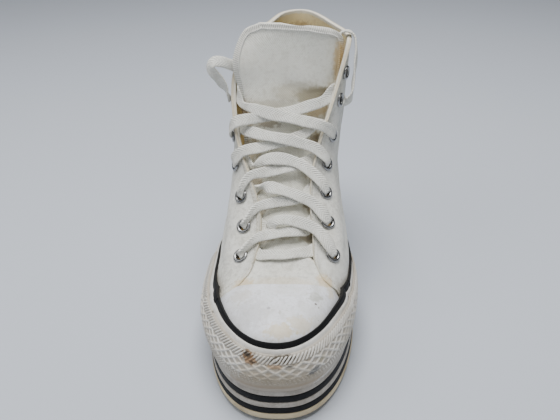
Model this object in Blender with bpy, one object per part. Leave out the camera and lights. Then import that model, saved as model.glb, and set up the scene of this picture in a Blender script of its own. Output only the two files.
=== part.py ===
"""Worn canvas high-top sneaker on a layered platform, for the right foot, standing empty on its sole.

Run it with: blender --background --python part.py

Lengths are worked out in millimetres and placed in metres. A place is (across, along, up): across is
positive towards the inner (medial) side, along runs from the toe tip to the heel, and up is measured
from the outsole's top, so that the floor lies at a height of its own below it.
"""

import math

import bmesh
import bpy
import numpy as np
from mathutils import Vector

MM = 0.001
OUTER, INNER = -1, 1  # the two sides of the shoe: outer is lateral, inner is medial
GAP = 0.3  # what curved pieces keep between them

# The sole's outline, seen from above
LENGTH = 272.0
BALL_AT = 94.0  # where the toe's curve ends, at the widest point
BREAST_AT = 232.0  # where the heel's curve starts
TOE_SHIFT = 3.0  # the toe tip lies this far to the inner side
TOE_ALONG, TOE_ACROSS = 2.05, 2.43  # how square the toe's curve is
HEEL_POWER = 2.2
# Columns: along, outer half width, inner half width
WAIST_ROWS = (
    (BALL_AT, 52.0, 50.5),
    (120.0, 52.5, 47.5),
    (150.0, 49.5, 41.0),
    (190.0, 42.5, 37.0),
    (BREAST_AT, 38.5, 37.0),
)

# The platform, in layers from the floor up
FLOOR = -5.0
OUTSOLE_TOP = 0.0
LOWER_STRIPE = (0.3, 4.7)
UPPER_STRIPE = (9.2, 14.0)
DECK = 18.0  # the platform's top, which carries the upper
STRIPE_DEPTH = 1.5
FLARE = 1.8  # the platform is this much smaller all round at its top
TREAD_EDGE = (0.8, 1.5)  # how far the outsole's lower edge is cut back, and how high
TOE_SPRING, SPRING_END = 3.6, 78.0
HEEL_ROLL, ROLL_START = 1.2, 256.0
INSOLE_THICK, INSOLE_INSET = 3.5, 9.5
GROOVES_AT = (40.0, 58.0, 76.0, 94.0, 112.0, 210.0, 228.0, 246.0)
GROOVE_WIDTH, GROOVE_DEPTH = 3.0, 1.8
GROOVE_CUTTER = (140.0, 6.0)  # its reach across and its height

# The middle of the shoe's box, across and along
MIDDLE = (-1.81, LENGTH / 2 - 0.44)

# The upper's wall
WALL = 1.3  # the vamp's cloth
SEAM_ROOM = 0.6  # more room under the rubber where the quarters' front edges pass beneath it
QUARTER_STEP = 1.0  # the quarters are laid over the vamp and stand this much higher
# Columns: around, inset of the upper's foot
FOOT_INSET_ROWS = ((0.0, 7.6), (0.5, 7.4), (0.85, 6.2), (1.1, 5.6), (3.0, 6.0))
# Columns: along, up
RIDGE_ROWS = (
    (22.0, 57.6),
    (35.0, 59.5),
    (45.0, 60.6),
    (54.0, 61.8),
    (70.0, 66.0),
    (80.0, 71.0),
    (92.0, 78.0),
)
RIDGE_ACROSS = 3.8

# Ribs of the toe and vamp. Each runs from its foot, on the deck, to the ridge.
# Columns: around, ridge at, rise, lean, reach, slide
FORE_ROWS = (
    (0.00, 22.0, 34.0, 0.5, 0.0, 11.0),
    (0.25, 27.0, 34.0, 0.5, 9.0, 10.0),
    (0.47, 35.0, 34.0, 0.5, 20.0, 6.0),
    (0.64, 45.0, 35.0, 0.5, 28.0, 2.0),
    (0.75, 52.5, 36.0, 0.5, 32.0, -1.0),
    (0.78, 79.0, 40.0, 1.0, 25.0, 14.0),
)
CAP_REAR = 4.0 / 5.0  # the toe cap ends on the fifth row

# Ribs of the quarters. Each runs from its foot to the throat's edge or the collar.
# Columns: around, rise, outer lean, inner lean, top along, top up,
# outer top, inner top, outer spread, inner spread, back, drop
LEVEL_AT_HEEL = (1, 2, 3, 4, 5, 10, 11)  # the columns that run level into the back seam
QUARTER_ROWS = (
    (0.88, 44.0, 0.0, 3.0, 89.0, 75.0, 12.5, 21.5, 20.0, 20.0, -1.0, 4.0),
    (1.02, 50.0, -0.5, 6.0, 103.5, 89.0, 14.5, 19.5, 17.0, 18.5, -1.0, 5.0),
    (1.20, 56.0, -2.0, 8.5, 117.5, 105.0, 21.5, 20.0, 13.0, 16.5, 1.0, 8.0),
    (1.36, 62.0, -5.0, 9.0, 131.0, 122.0, 29.0, 24.5, 7.0, 13.0, 3.0, 14.0),
    (1.50, 66.0, -8.0, 7.0, 143.5, 141.0, 33.0, 31.5, 2.5, 9.0, 5.0, 20.0),
    (1.62, 70.0, -9.0, 5.0, 154.5, 162.0, 33.0, 38.5, 2.0, 4.0, 6.0, 28.0),
    (1.74, 72.0, -8.0, 3.0, 165.0, 184.0, 25.5, 45.0, 5.0, -1.0, 6.0, 40.0),
    (1.90, 68.0, -6.0, 2.0, 190.0, 184.0, 22.5, 43.5, 8.0, -2.0, 2.0, 46.0),
    (2.10, 64.0, -2.0, 1.0, 220.0, 183.0, 14.0, 33.0, 11.0, 0.0, -4.0, 50.0),
    (2.50, 54.0, 4.0, 4.0, 252.0, 182.5, 7.0, 19.5, 8.0, -1.0, -6.0, 56.0),
    (3.00, 48.0, 7.0, 7.0, 265.0, 182.0, -7.0, 7.0, 3.5, -3.5, -6.0, 60.0),
)
THROAT_BASE = {OUTER: 15.5, INNER: 23.0}  # half widths of the throat where it starts
LAST_ROW = len(QUARTER_ROWS)
COLLAR_CORNER_ROW = 7  # the throat's edge ends on this row, counting its base as 0

# Rubber on the upper
CAP_THICK = 1.7
STRIPE_TAPE = 1.4
# Columns: around, the tape's width
TAPE_WIDTH_ROWS = ((0.0, 2.9), (0.5, 3.3), (0.8, 4.3), (1.2, 4.6), (3.0, 4.6))
# Columns: around, height of the foxing's top edge
FOXING_ROWS = (
    (0.0, 50.0),
    (0.4, 48.0),
    (0.76, 45.5),
    (1.0, 43.0),
    (1.5, 42.0),
    (2.2, 42.5),
    (3.0, 44.0),
)
FOXING_LIP = 1.8  # the foxing's thickness at its top edge
FOXING_TUCK = 0.5  # the foxing ends this far below the tape
FOXING_FOOT = 1.6  # the foxing's foot lies this far in from the sole's edge
# Columns: around, how far its middle is drawn out beyond its foot on the outer side, on the inner side
BULGE_ROWS = (
    (0.0, 2.6, 2.6),
    (0.5, 3.6, 3.2),
    (0.8, 9.0, 4.6),
    (1.2, 10.5, 5.0),
    (1.7, 7.0, 4.5),
    (3.0, 3.5, 3.5),
)
BUMPER_END = 1.18  # how far round the bumper reaches
BUMPER_TAPER = 0.5  # the run of stations over which it thins out
BUMPER_FROM, BUMPER_TO = 0.13, 0.93  # its edges on the foxing's face
BUMPER_THICK, BUMPER_THIN = 1.5, 0.3

# Eyelets
EYELETS = 7
# Columns: how far up the throat's edge, how far from it
EYELET_PLACES = {
    OUTER: (
        (10.5, 12.5),
        (31.0, 12.5),
        (53.0, 11.0),
        (77.5, 11.0),
        (99.5, 12.0),
        (125.5, 12.5),
        (140.0, 11.5),
    ),
    INNER: (
        (14.0, 15.0),
        (34.5, 12.5),
        (56.0, 12.0),
        (77.0, 11.0),
        (99.0, 11.5),
        (125.0, 12.0),
        (144.5, 12.5),
    ),
}
EYELET_BORE, EYELET_BARREL, EYELET_FLANGE = 2.9, 3.4, 5.0
FLANGE_FOOT = QUARTER_STEP + GAP
FLANGE_TOP = FLANGE_FOOT + 0.8
# Columns: radius, height over the upper's base surface
EYELET_PROFILE = (
    (EYELET_BORE, -WALL - GAP),
    (EYELET_BARREL, -WALL - GAP),
    (EYELET_BARREL, FLANGE_FOOT),
    (EYELET_FLANGE, FLANGE_FOOT),
    (EYELET_FLANGE - 0.6, FLANGE_TOP),
    (EYELET_BORE, FLANGE_TOP),
)
EYELET_SIDES = 10
BORE_DEPTH = 8.0

# Tongue
# Columns: along, up, outer half, inner half, outer setback, inner setback
TONGUE_ROWS = (
    (66.0, 58.0, 14.0, 18.0, 3.5, 4.0),
    (78.0, 64.0, 19.0, 24.0, 5.0, 6.5),
    (90.0, 72.0, 23.0, 27.0, 6.0, 7.0),
    (104.0, 85.5, 25.0, 27.0, 6.0, 6.5),
    (118.5, 100.5, 26.5, 27.0, 6.5, 7.5),
    (131.5, 117.5, 27.0, 29.0, 6.0, 9.5),
    (143.0, 137.0, 28.0, 32.5, 5.0, 11.5),
    (149.5, 155.0, 30.5, 36.5, 2.5, 13.5),
    (153.0, 172.0, 33.0, 39.5, -0.5, 14.5),
    (156.0, 188.0, 28.0, 39.0, 3.0, 13.5),
    (157.0, 194.5, 20.0, 33.0, 3.0, 9.0),
    (157.5, 198.0, 14.0, 19.0, 1.0, 3.0),
)
TONGUE_THICK = 2.2
TONGUE_TILT, TILT_FROM = -3.5, 7  # the top's inner corner hangs this much lower, from this row up
TONGUE_ACROSS = (-1.0, -0.8, -0.5, -0.2, 0.2, 0.5, 0.8, 1.0)

# Lace
LACE_WIDTH, LACE_THICK = 7.6, 1.2
CROSSINGS = 5
STRAND_STEPS = 10
CROSSING_ROOM = (1.4, 0.0, 0.0, 0.2, 1.4)  # how much higher a crossing passes: the first lies over the bar
# How high a strand passes near its own edge, halfway and near the far edge. The inner side's lies on top.
CROSSING_HEIGHTS = {INNER: (2.8, 3.2, 2.6), OUTER: (2.8, 2.2, 1.5)}
OVER_EYELET = 4 * GAP  # a strand starts this far over its eyelet's flange
EDGE_ROW, ROUND_EDGE = 0.15, 0.8  # rows above its eyelet, and how far out, a strand turns over its own edge
STRAND_TURNS = (0.45, 0.7)  # shares of the rows that it climbs, at its two points over the tongue
SHORT_OF_EDGE, END_HEIGHT = 4.6, -0.3  # a strand ends this far inside the far edge, just under it
# How many rows of the quarter's table below its far eyelet a strand ends, for each crossing
END_BELOW = {INNER: (0.15, 0.15, 0.25, 0.4, 0.7), OUTER: (0.15, 0.15, 0.15, 0.15, 0.4)}
# Columns: across, along, up, face across, face along, face up
BAR_ROWS = (
    (-12.5, 74.9, 68.5, -0.2, -0.45, 0.87),
    (-4.0, 73.9, 69.6, -0.1, -0.45, 0.89),
    (4.0, 73.6, 69.8, 0.0, -0.45, 0.89),
    (12.0, 75.2, 70.2, 0.1, -0.45, 0.89),
    (19.5, 78.5, 68.8, 0.15, -0.45, 0.88),
)
BAR_STEPS = 9
OUTER_END = (
    (-37.9, 155.0, 145.4, -1.0, 0.0, 0.0),
    (-39.4, 153.6, 150.5, -0.95, -0.2, 0.0),
    (-41.2, 152.0, 156.0, -0.7, -0.65, -0.2),
    (-43.5, 150.8, 161.6, -0.5, -0.85, -0.2),
    (-46.8, 150.2, 166.2, -0.5, -0.85, 0.0),
    (-48.2, 150.4, 169.8, -0.7, -0.7, 0.2),
    (-46.2, 151.2, 173.0, -0.3, -0.8, 0.5),
    (-41.5, 152.4, 173.0, 0.0, -0.9, 0.4),
    (-36.5, 153.8, 171.0, 0.0, -0.94, 0.34),
    (-32.3, 155.2, 168.8, 0.0, -0.95, 0.3),
)
INNER_END = (
    (42.2, 153.4, 145.6, 0.8, -0.5, 0.3),
    (45.0, 152.6, 145.9, 0.5, -0.8, -0.3),
    (47.3, 153.6, 149.5, 0.8, -0.5, -0.3),
    (48.6, 157.0, 158.0, 1.0, 0.0, -0.1),
    (50.0, 162.0, 169.0, 1.0, 0.0, 0.0),
    (50.4, 167.0, 179.5, 1.0, 0.0, 0.1),
    (48.9, 171.0, 186.2, 0.8, 0.0, 0.6),
    (45.0, 173.5, 188.4, 0.0, 0.0, 1.0),
    (40.8, 175.8, 187.0, -0.5, 0.0, 0.85),
    (37.5, 177.5, 182.5, -0.85, 0.0, 0.5),
)
LOOSE_STEPS = 18


def smooth(places, values, at, level_ends=False, level_last=()):
    """The value at a place on the smooth curve through a column of values, or through several columns.

    Ends run on straight, or level where level_ends says so; level_last lists the columns that end level.
    """
    places, values = np.asarray(places, float), np.asarray(values, float)
    slopes = np.gradient(values, places, axis=0)
    if level_ends:
        slopes[0] = slopes[-1] = 0.0
    for column in level_last:
        slopes[-1, column] = 0.0
    i = int(np.clip(np.searchsorted(places, at, "right") - 1, 0, len(places) - 2))
    span = places[i + 1] - places[i]
    s = (at - places[i]) / span
    return (
        (1 + 2 * s) * (1 - s) ** 2 * values[i]
        + s * (1 - s) ** 2 * span * slopes[i]
        + s * s * (3 - 2 * s) * values[i + 1]
        + s * s * (s - 1) * span * slopes[i + 1]
    )


def table(rows, at):
    """A short table's second column at a value of its first."""
    rows = np.array(rows)
    return float(smooth(rows[:, 0], rows[:, 1], min(at, rows[-1, 0])))


def half_width(side, along):
    rows = np.array(WAIST_ROWS)
    return float(smooth(rows[:, 0], rows[:, 1 if side == OUTER else 2], along, level_ends=True))


def outline(side, around, inset=0.0):
    """A point of the sole's edge.

    Around is 0 at the toe tip, 1 at the ball, 2 at the heel's breast and 3 at the heel's back.
    """
    if around <= 1:
        turn = around * math.pi / 2
        across = (half_width(side, BALL_AT) - inset) * math.sin(turn) ** (2 / TOE_ACROSS)
        along = BALL_AT - (BALL_AT - inset) * max(math.cos(turn), 0.0) ** (2 / TOE_ALONG)
        return np.array([side * across + TOE_SHIFT * (1 - around), along])
    if around <= 2:
        along = BALL_AT + (BREAST_AT - BALL_AT) * (around - 1)
        return np.array([side * (half_width(side, along) - inset), along])
    turn = (around - 2) * math.pi / 2
    across = (half_width(side, BREAST_AT) - inset) * max(math.cos(turn), 0.0) ** (2 / HEEL_POWER)
    along = BREAST_AT + (LENGTH - BREAST_AT - inset) * math.sin(turn) ** (2 / HEEL_POWER)
    return np.array([side * across, along])


def outward(side, around):
    """The direction that faces out of the outline, seen from above."""
    step = 1e-3
    if around < step or around > 3 - step:
        return np.array([0.0, -1.0 if around < 1 else 1.0])
    run = outline(side, around + step) - outline(side, around - step)
    return side * np.array([run[1], -run[0]]) / np.linalg.norm(run)


def lift(along):
    """How far the sole's curve raises it off the floor."""
    toe = TOE_SPRING * max(0.0, 1 - along / SPRING_END) ** 2
    return toe + HEEL_ROLL * max(0.0, (along - ROLL_START) / (LENGTH - ROLL_START)) ** 2


def foot(side, around):
    """Where a rib of the upper stands on the deck."""
    across, along = outline(side, around, table(FOOT_INSET_ROWS, around))
    return np.array([across, along, DECK + GAP + lift(along)])


def bezier(controls, v):
    a, b, c, d = controls
    w = 1 - v
    return w**3 * a + 3 * w * w * v * b + 3 * w * v * v * c + v**3 * d


def fore_rib(side, station):
    """The four control points of a rib of the toe or vamp: 0 is at the toe tip and 1 at the quarter."""
    rows = np.array(FORE_ROWS)
    around, ridge_at, rise, lean, reach, slide = smooth(
        range(len(rows)), rows, station * (len(rows) - 1)
    )
    start = foot(side, max(around, 0.0))
    out = outward(side, max(around, 0.0))
    end = np.array([RIDGE_ACROSS, ridge_at, table(RIDGE_ROWS, ridge_at)])
    slope = table(RIDGE_ROWS, ridge_at + 0.5) - table(RIDGE_ROWS, ridge_at - 0.5)
    ridge_way = np.array([0.0, 1.0, slope]) / math.hypot(1.0, slope)
    near_start = start + np.array([*(lean * out), rise])
    near_end = end + np.array([side * max(reach, 0.0), 0.0, 0.0]) - slide * ridge_way
    return np.array([start, near_start, near_end, end])


def throat_share(side):
    """How far up the last fore rib the throat's corner lies."""
    controls = fore_rib(side, 1.0)
    low, high = 0.0, 1.0
    for _ in range(40):
        middle = (low + high) / 2
        if side * bezier(controls, middle)[0] > THROAT_BASE[side]:
            low = middle
        else:
            high = middle
    return low


def first_quarter_row(side):
    """The quarter's front rib, as a row of its table: the fore rib's lower part."""
    v = throat_share(side)
    a, b, c, d = fore_rib(side, 1.0)
    ab, bc, cd = a + v * (b - a), b + v * (c - b), c + v * (d - c)
    near_end = ab + v * (bc - ab)
    end = near_end + v * (bc + v * (cd - bc) - near_end)
    _, _, rise, lean, _, _ = FORE_ROWS[-1]
    tops = (-end[0], end[0])
    leans = (lean * v, lean * v)
    spreads = (side * (near_end[0] - end[0]),) * 2
    back, drop = near_end[1] - end[1], end[2] - near_end[2]
    return (FORE_ROWS[-1][0], rise * v, *leans, end[1], end[2], *tops, *spreads, back, drop)


QUARTER_TABLES = {side: np.array([first_quarter_row(side), *QUARTER_ROWS]) for side in (OUTER, INNER)}


def quarter_rib(side, row):
    """The four control points of a rib of the quarter, at a place between the rows of its table."""
    rows = QUARTER_TABLES[side]
    values = smooth(range(len(rows)), rows, row, level_last=LEVEL_AT_HEEL)
    around, rise, *leans = values[:4]
    top_along, top_up, *tops = values[4:8]
    spreads, (back, drop) = values[8:10], values[10:]
    lean, top, spread = (pair[0 if side == OUTER else 1] for pair in (leans, tops, spreads))
    around = min(around, 3.0)
    start = foot(side, around)
    near_start = start + np.array([*(lean * outward(side, around)), rise])
    end = np.array([side * top, top_along, top_up])
    near_end = end + np.array([side * spread, back, -drop])
    return np.array([start, near_start, near_end, end])


def rib(side, station, on_quarter=None):
    """Control points of the rib at a station: up to 1 on the toe and vamp, from 1 on the quarter."""
    on_quarter = station > 1 if on_quarter is None else on_quarter
    return quarter_rib(side, station - 1) if on_quarter else fore_rib(side, station)


def surface(side, station, v, on_quarter=None):
    return bezier(rib(side, station, on_quarter), v)


def side_normal(side, station, v, on_quarter):
    e = 1e-4
    low, high = (1.0, 1.0 + LAST_ROW) if on_quarter else (0.0, 1.0)
    after, before = min(station + e, high), max(station - e, low)
    above, below = min(v + e, 1.0), max(v - e, 0.0)
    run = surface(side, after, v, on_quarter) - surface(side, before, v, on_quarter)
    rise = surface(side, station, above, on_quarter) - surface(side, station, below, on_quarter)
    way = side * np.cross(run, rise)
    return way / np.linalg.norm(way)


def normal(side, station, v, on_quarter=None):
    """The way out of the upper's surface; where the two sides meet it is the same for both."""
    on_quarter = station > 1 if on_quarter is None else on_quarter
    if not on_quarter and v >= 1:
        along = fore_rib(side, station)[3][1]
        way = np.array([0.0, table(RIDGE_ROWS, along - 0.5) - table(RIDGE_ROWS, along + 0.5), 1.0])
        return way / np.linalg.norm(way)
    way = side_normal(side, station, v, on_quarter)
    if station <= 0 or station >= 1 + LAST_ROW:
        way = way + side_normal(-side, station, v, on_quarter)
    return way / np.linalg.norm(way)


def share_at_height(controls, up):
    """How far along a rib it reaches a height."""
    low, high = 0.0, 1.0
    for _ in range(30):
        middle = (low + high) / 2
        low, high = (middle, high) if bezier(controls, middle)[2] < up else (low, middle)
    return low


def share_at_distance(controls, share, distance):
    """How far along a rib a point lies at a straight distance from another, downwards if it is negative."""
    origin = bezier(controls, share)
    low, high = (share, 1.0) if distance > 0 else (0.0, share)
    for _ in range(30):
        middle = (low + high) / 2
        away = np.linalg.norm(bezier(controls, middle) - origin)
        nearer = away < abs(distance)
        low, high = (middle, high) if nearer == (distance > 0) else (low, middle)
    return low


def around_of(side, station):
    rows = np.array(FORE_ROWS) if station <= 1 else QUARTER_TABLES[side]
    place = station * (len(rows) - 1) if station <= 1 else station - 1
    return float(np.clip(smooth(range(len(rows)), rows[:, 0], place), 0.0, 3.0))


def foxing_share(side, station, on_quarter=None):
    """How far up a rib the black tape starts."""
    height = table(FOXING_ROWS, around_of(side, station))
    return share_at_height(rib(side, station, on_quarter), height)


def tape_top_share(side, station, on_quarter=None):
    """How far up a rib the black tape reaches."""
    width = table(TAPE_WIDTH_ROWS, around_of(side, station))
    start = foxing_share(side, station, on_quarter)
    return share_at_distance(rib(side, station, on_quarter), start, width)


def levels(side, station, on_quarter):
    """The shares of a rib where the upper's rows of points lie: foot, foxing, tape, then even steps."""
    corner = 1.0 if on_quarter else throat_share(side)
    top, tape = foxing_share(side, station, on_quarter), tape_top_share(side, station, on_quarter)
    steps = [0.0, top / 2, top, tape] + [tape + (corner - tape) * (i + 1) / 5 for i in range(5)]
    return steps if on_quarter else steps + [corner + (1 - corner) * (i + 1) / 2 for i in range(2)]


FORE_STATIONS = [0.0, 0.08, 0.17, 0.27, 0.38, 0.5, 0.61, 0.71, CAP_REAR, 0.9, 1.0]
QUARTER_STATIONS = [1 + 0.5 * i for i in range(2 * LAST_ROW + 1)]


def place(point):
    """A point in metres in the part's own frame: origin under the middle of the sole."""
    across, along, up = point
    return Vector(((across - MIDDLE[0]) * MM, (along - MIDDLE[1]) * MM, (up - FLOOR) * MM))


def material(name, colour, roughness, metallic=0.0):
    made = bpy.data.materials.new(name)
    made.use_nodes = True
    shader = made.node_tree.nodes["Principled BSDF"]
    shader.inputs["Base Color"].default_value = (*colour, 1.0)
    shader.inputs["Roughness"].default_value = roughness
    shader.inputs["Metallic"].default_value = metallic
    return made


def finish(name, bm, made_of, sharp_deg=40.0):
    """Turns a bmesh into a named object with its material."""
    bmesh.ops.recalc_face_normals(bm, faces=bm.faces)
    mesh = bpy.data.meshes.new(name)
    bm.to_mesh(mesh)
    bm.free()
    mesh.shade_smooth()
    mesh.set_sharp_from_angle(angle=math.radians(sharp_deg))
    mesh.materials.append(made_of)
    made = bpy.data.objects.new(name, mesh)
    bpy.context.scene.collection.objects.link(made)
    return made


def sheet(bm, back_layer, columns):
    """Adds a sheet of quads to a bmesh from columns of (front, back) points. A short column ends lower."""
    verts = []
    for column in columns:
        made = []
        for front, back in column:
            vert = bm.verts.new(place(front))
            vert[back_layer] = place(back)
            made.append(vert)
        verts.append(made)
    for one, other in zip(verts, verts[1:]):
        for i in range(min(len(one), len(other)) - 1):
            bm.faces.new((one[i], one[i + 1], other[i + 1], other[i]))


def close_wall(bm, back_layer):
    """Gives a sheet its back and its edges, so that it is a closed wall."""
    bmesh.ops.remove_doubles(bm, verts=bm.verts, dist=1e-6)
    bmesh.ops.recalc_face_normals(bm, faces=bm.faces)
    rim = [edge for edge in bm.edges if edge.is_boundary]
    copy = bmesh.ops.duplicate(bm, geom=bm.verts[:] + bm.edges[:] + bm.faces[:])
    twin = copy["vert_map"]
    for vert in {v for v in copy["geom"] if isinstance(v, bmesh.types.BMVert)}:
        vert.co = vert[back_layer]
    bmesh.ops.reverse_faces(bm, faces=[f for f in copy["geom"] if isinstance(f, bmesh.types.BMFace)])
    for edge in rim:
        a, b = edge.verts
        bm.faces.new((a, b, twin[b], twin[a]))
    bmesh.ops.remove_doubles(bm, verts=bm.verts, dist=1e-6)


def shell(name, columns, made_of):
    """A closed wall from lists of columns of (front, back) points."""
    bm = bmesh.new()
    back_layer = bm.verts.layers.float_vector.new("back")
    for part in columns:
        sheet(bm, back_layer, part)
    close_wall(bm, back_layer)
    return finish(name, bm, made_of)


def wall_point(side, station, v, on_quarter, front, back):
    point = surface(side, station, v, on_quarter)
    way = normal(side, station, v, on_quarter)
    return point + way * front, point - way * back


def upper(cloth):
    """Vamp and quarters in one hollow wall, open at the throat, the collar and underneath."""
    parts = []
    for side in (OUTER, INNER):
        columns = []
        for s in FORE_STATIONS:
            columns.append([wall_point(side, s, v, False, 0.0, WALL) for v in levels(side, s, False)])
        for s in QUARTER_STATIONS:
            steps = levels(side, s, True)
            columns.append([wall_point(side, s, v, True, QUARTER_STEP, WALL) for v in steps])
        parts.append(columns)
    return shell("upper", parts, cloth)


def cover(side, station):
    """How high the cloth or the cap stands under the foxing."""
    if station <= CAP_REAR:
        return GAP + CAP_THICK
    edge = QUARTER_STEP + SEAM_ROOM
    if station >= 1:
        return max(QUARTER_STEP, edge - SEAM_ROOM * (station - 1))
    share = (station - CAP_REAR) / (1 - CAP_REAR)
    return (GAP + CAP_THICK) * (1 - share) + edge * share


def toe_cap(rubber):
    """The rubber cap over the toe, between two forms that stand off the vamp."""
    parts = []
    for side in (OUTER, INNER):
        columns = []
        for s in [s for s in FORE_STATIONS if s <= CAP_REAR]:
            steps = levels(side, s, False)[1:]
            columns.append([wall_point(side, s, v, False, GAP + CAP_THICK, -GAP) for v in steps])
        parts.append(columns)
    return shell("toe_cap", parts, rubber)


def ring(name, sections, made_of):
    """A closed band round the shoe, from one closed section of points for each station."""
    bm = bmesh.new()
    loops = [[bm.verts.new(place(p)) for p in section] for section in sections]
    for one, other in zip(loops, loops[1:] + loops[:1]):
        for i in range(len(one)):
            j = (i + 1) % len(one)
            bm.faces.new((one[i], one[j], other[j], other[i]))
    return finish(name, bm, made_of)


def round_the_shoe(section):
    """A section for each station, up the outer side from the toe and back down the inner side."""
    stations = FORE_STATIONS + QUARTER_STATIONS[1:]
    outer = [section(OUTER, s) for s in stations]
    inner = [section(INNER, s) for s in stations[1:-1]]
    return outer + inner[::-1]


def foxing_top_share(side, station):
    """How far up a rib the foxing reaches, just under the tape."""
    return share_at_distance(rib(side, station), foxing_share(side, station), -FOXING_TUCK)


def foxing_face(side, station, h):
    """A point of the foxing's outer face, h from 0 at its foot to 1 at its top edge."""
    around = around_of(side, station)
    rows = np.array(BULGE_ROWS)
    bulge = float(smooth(rows[:, 0], rows[:, 1 if side == OUTER else 2], around))
    across, along = outline(side, around, FOXING_FOOT)
    out = outward(side, around)
    top_v = foxing_top_share(side, station)
    over = cover(side, station) + GAP + FOXING_LIP
    lip = surface(side, station, top_v) + normal(side, station, top_v) * over
    a = np.array([across, along, DECK + GAP + lift(along)])
    b = np.array([across + bulge * out[0], along + bulge * out[1], a[2] + 0.5 * (lip[2] - a[2])])
    return (1 - h) ** 2 * a + 2 * h * (1 - h) * b + h * h * lip


def foxing_way(side, station, h):
    """The way out of the foxing's face; at the toe tip it is the same for both sides."""
    e = 1e-3
    low, high = max(station - e, 0.0), min(station + e, 1.0 if station <= 1 else 1.0 + LAST_ROW)
    run = foxing_face(side, high, h) - foxing_face(side, low, h)
    rise = foxing_face(side, station, min(h + e, 1.0)) - foxing_face(side, station, max(h - e, 0.0))
    way = side * np.cross(run, rise)
    if station <= 0:
        way = np.array([0.0, -rise[2], rise[1]])
    return way / np.linalg.norm(way)


FACE_LEVELS = (0.0, 0.14, 0.5, 0.85, 1.0)


def foxing(rubber):
    """The rubber band round the lower upper, on the deck."""

    def section(side, station):
        top_v = foxing_top_share(side, station)
        over = cover(side, station) + 2 * GAP
        shares = (top_v, top_v / 2, 0.0)
        inside = [surface(side, station, v) + normal(side, station, v) * over for v in shares]
        inside[-1][2] = DECK + GAP + lift(inside[-1][1])
        return [foxing_face(side, station, h) for h in FACE_LEVELS] + inside

    return ring("foxing", round_the_shoe(section), rubber)


def stripe(rubber):
    """The black tape along the foxing's top edge."""

    def section(side, station):
        low, high = foxing_share(side, station), tape_top_share(side, station)
        over = cover(side, station) + GAP
        ends = [(low, over), (high, over), (high, over + STRIPE_TAPE), (low, over + STRIPE_TAPE)]
        return [surface(side, station, v) + normal(side, station, v) * out for v, out in ends]

    return ring("foxing_stripe", round_the_shoe(section), rubber)


def toe_bumper(rubber):
    """The relief strip round the toe, over the foxing, thinning out at its two ends."""
    ends = [station_at(side, BUMPER_END) for side in (OUTER, INNER)]
    columns = []
    for side, end in zip((OUTER, INNER), ends):
        stations = [s for s in FORE_STATIONS + QUARTER_STATIONS[1:] if s < end - 0.1] + [end]
        column = []
        for s in stations:
            thick = GAP + BUMPER_THIN + BUMPER_THICK * min(1.0, (end - s) / BUMPER_TAPER)
            steps = np.linspace(BUMPER_FROM, BUMPER_TO, 5)
            face = [(foxing_face(side, s, h), foxing_way(side, s, h)) for h in steps]
            column.append([(p + way * thick, p + way * GAP) for p, way in face])
        columns.append(column)
    return shell("toe_bumper", columns, rubber)


def station_at(side, around):
    low, high = 0.0, 1.0 + LAST_ROW
    for _ in range(40):
        middle = (low + high) / 2
        low, high = (middle, high) if around_of(side, middle) < around else (low, middle)
    return low


SOLE_STATIONS = [i / 10 for i in range(10)] + [1 + i / 4 for i in range(4)] + [2 + i / 6 for i in range(7)]


def sole_loop(inset, up):
    """A level loop round the sole, as two ladders of points: outer side and inner side, toe to heel."""
    ladders = []
    for side in (OUTER, INNER):
        points = [outline(side, around, inset) for around in SOLE_STATIONS]
        ladders.append([np.array([*p, up + lift(p[1])]) for p in points])
    return ladders


def slab(name, profile, made_of):
    """A solid with the sole's outline, from a profile of (inset, up) from the bottom to the top."""
    bm = bmesh.new()
    ladders = []
    for inset, up in profile:
        outer, inner = sole_loop(inset, up)
        outer = [bm.verts.new(place(p)) for p in outer]
        inner = [outer[0]] + [bm.verts.new(place(p)) for p in inner[1:-1]] + [outer[-1]]
        ladders.append((outer, inner))
    for (low_outer, low_inner), (high_outer, high_inner) in zip(ladders, ladders[1:]):
        for low, high in ((low_outer, high_outer), (low_inner, high_inner)):
            for i in range(len(low) - 1):
                bm.faces.new((low[i], low[i + 1], high[i + 1], high[i]))
    for outer, inner in (ladders[0], ladders[-1]):
        for i in range(len(outer) - 1):
            corners = dict.fromkeys((outer[i], outer[i + 1], inner[i + 1], inner[i]))
            bm.faces.new(tuple(corners))
    return finish(name, bm, made_of)


def flare(up):
    return FLARE * (up - FLOOR) / (DECK - FLOOR)


def sole(white, black, tan):
    cut_in, cut_up = TREAD_EDGE
    edge = FLOOR + cut_up
    tread = slab("outsole", [(cut_in, FLOOR), (flare(edge), edge), (flare(OUTSOLE_TOP), OUTSOLE_TOP)], tan)
    cut_grooves(tread)
    (low_a, low_b), (high_a, high_b) = LOWER_STRIPE, UPPER_STRIPE
    bottom = OUTSOLE_TOP + GAP
    profile = [
        (STRIPE_DEPTH + GAP + flare(low_a), bottom),
        (STRIPE_DEPTH + GAP + flare(low_b), low_b + GAP),
        (flare(low_b + GAP), low_b + GAP),
        (flare(high_a - GAP), high_a - GAP),
        (STRIPE_DEPTH + GAP + flare(high_a), high_a - GAP),
        (STRIPE_DEPTH + GAP + flare(high_b), high_b + GAP),
        (flare(high_b + GAP), high_b + GAP),
        (FLARE, DECK),
    ]
    slab("midsole", profile, white)
    for name, (low, high) in (("lower_stripe", LOWER_STRIPE), ("upper_stripe", UPPER_STRIPE)):
        corners = ((0.0, low), (0.0, high), (STRIPE_DEPTH, high), (STRIPE_DEPTH, low))
        loops = [sole_loop(depth + flare(up), up) for depth, up in corners]
        outer = [[loop[0][i] for loop in loops] for i in range(len(SOLE_STATIONS))]
        inner = [[loop[1][i] for loop in loops] for i in range(1, len(SOLE_STATIONS) - 1)]
        ring(name, outer + inner[::-1], black)


def insole(cloth):
    bottom = DECK + GAP
    slab("insole", [(INSOLE_INSET, bottom), (INSOLE_INSET, bottom + INSOLE_THICK)], cloth)


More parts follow.
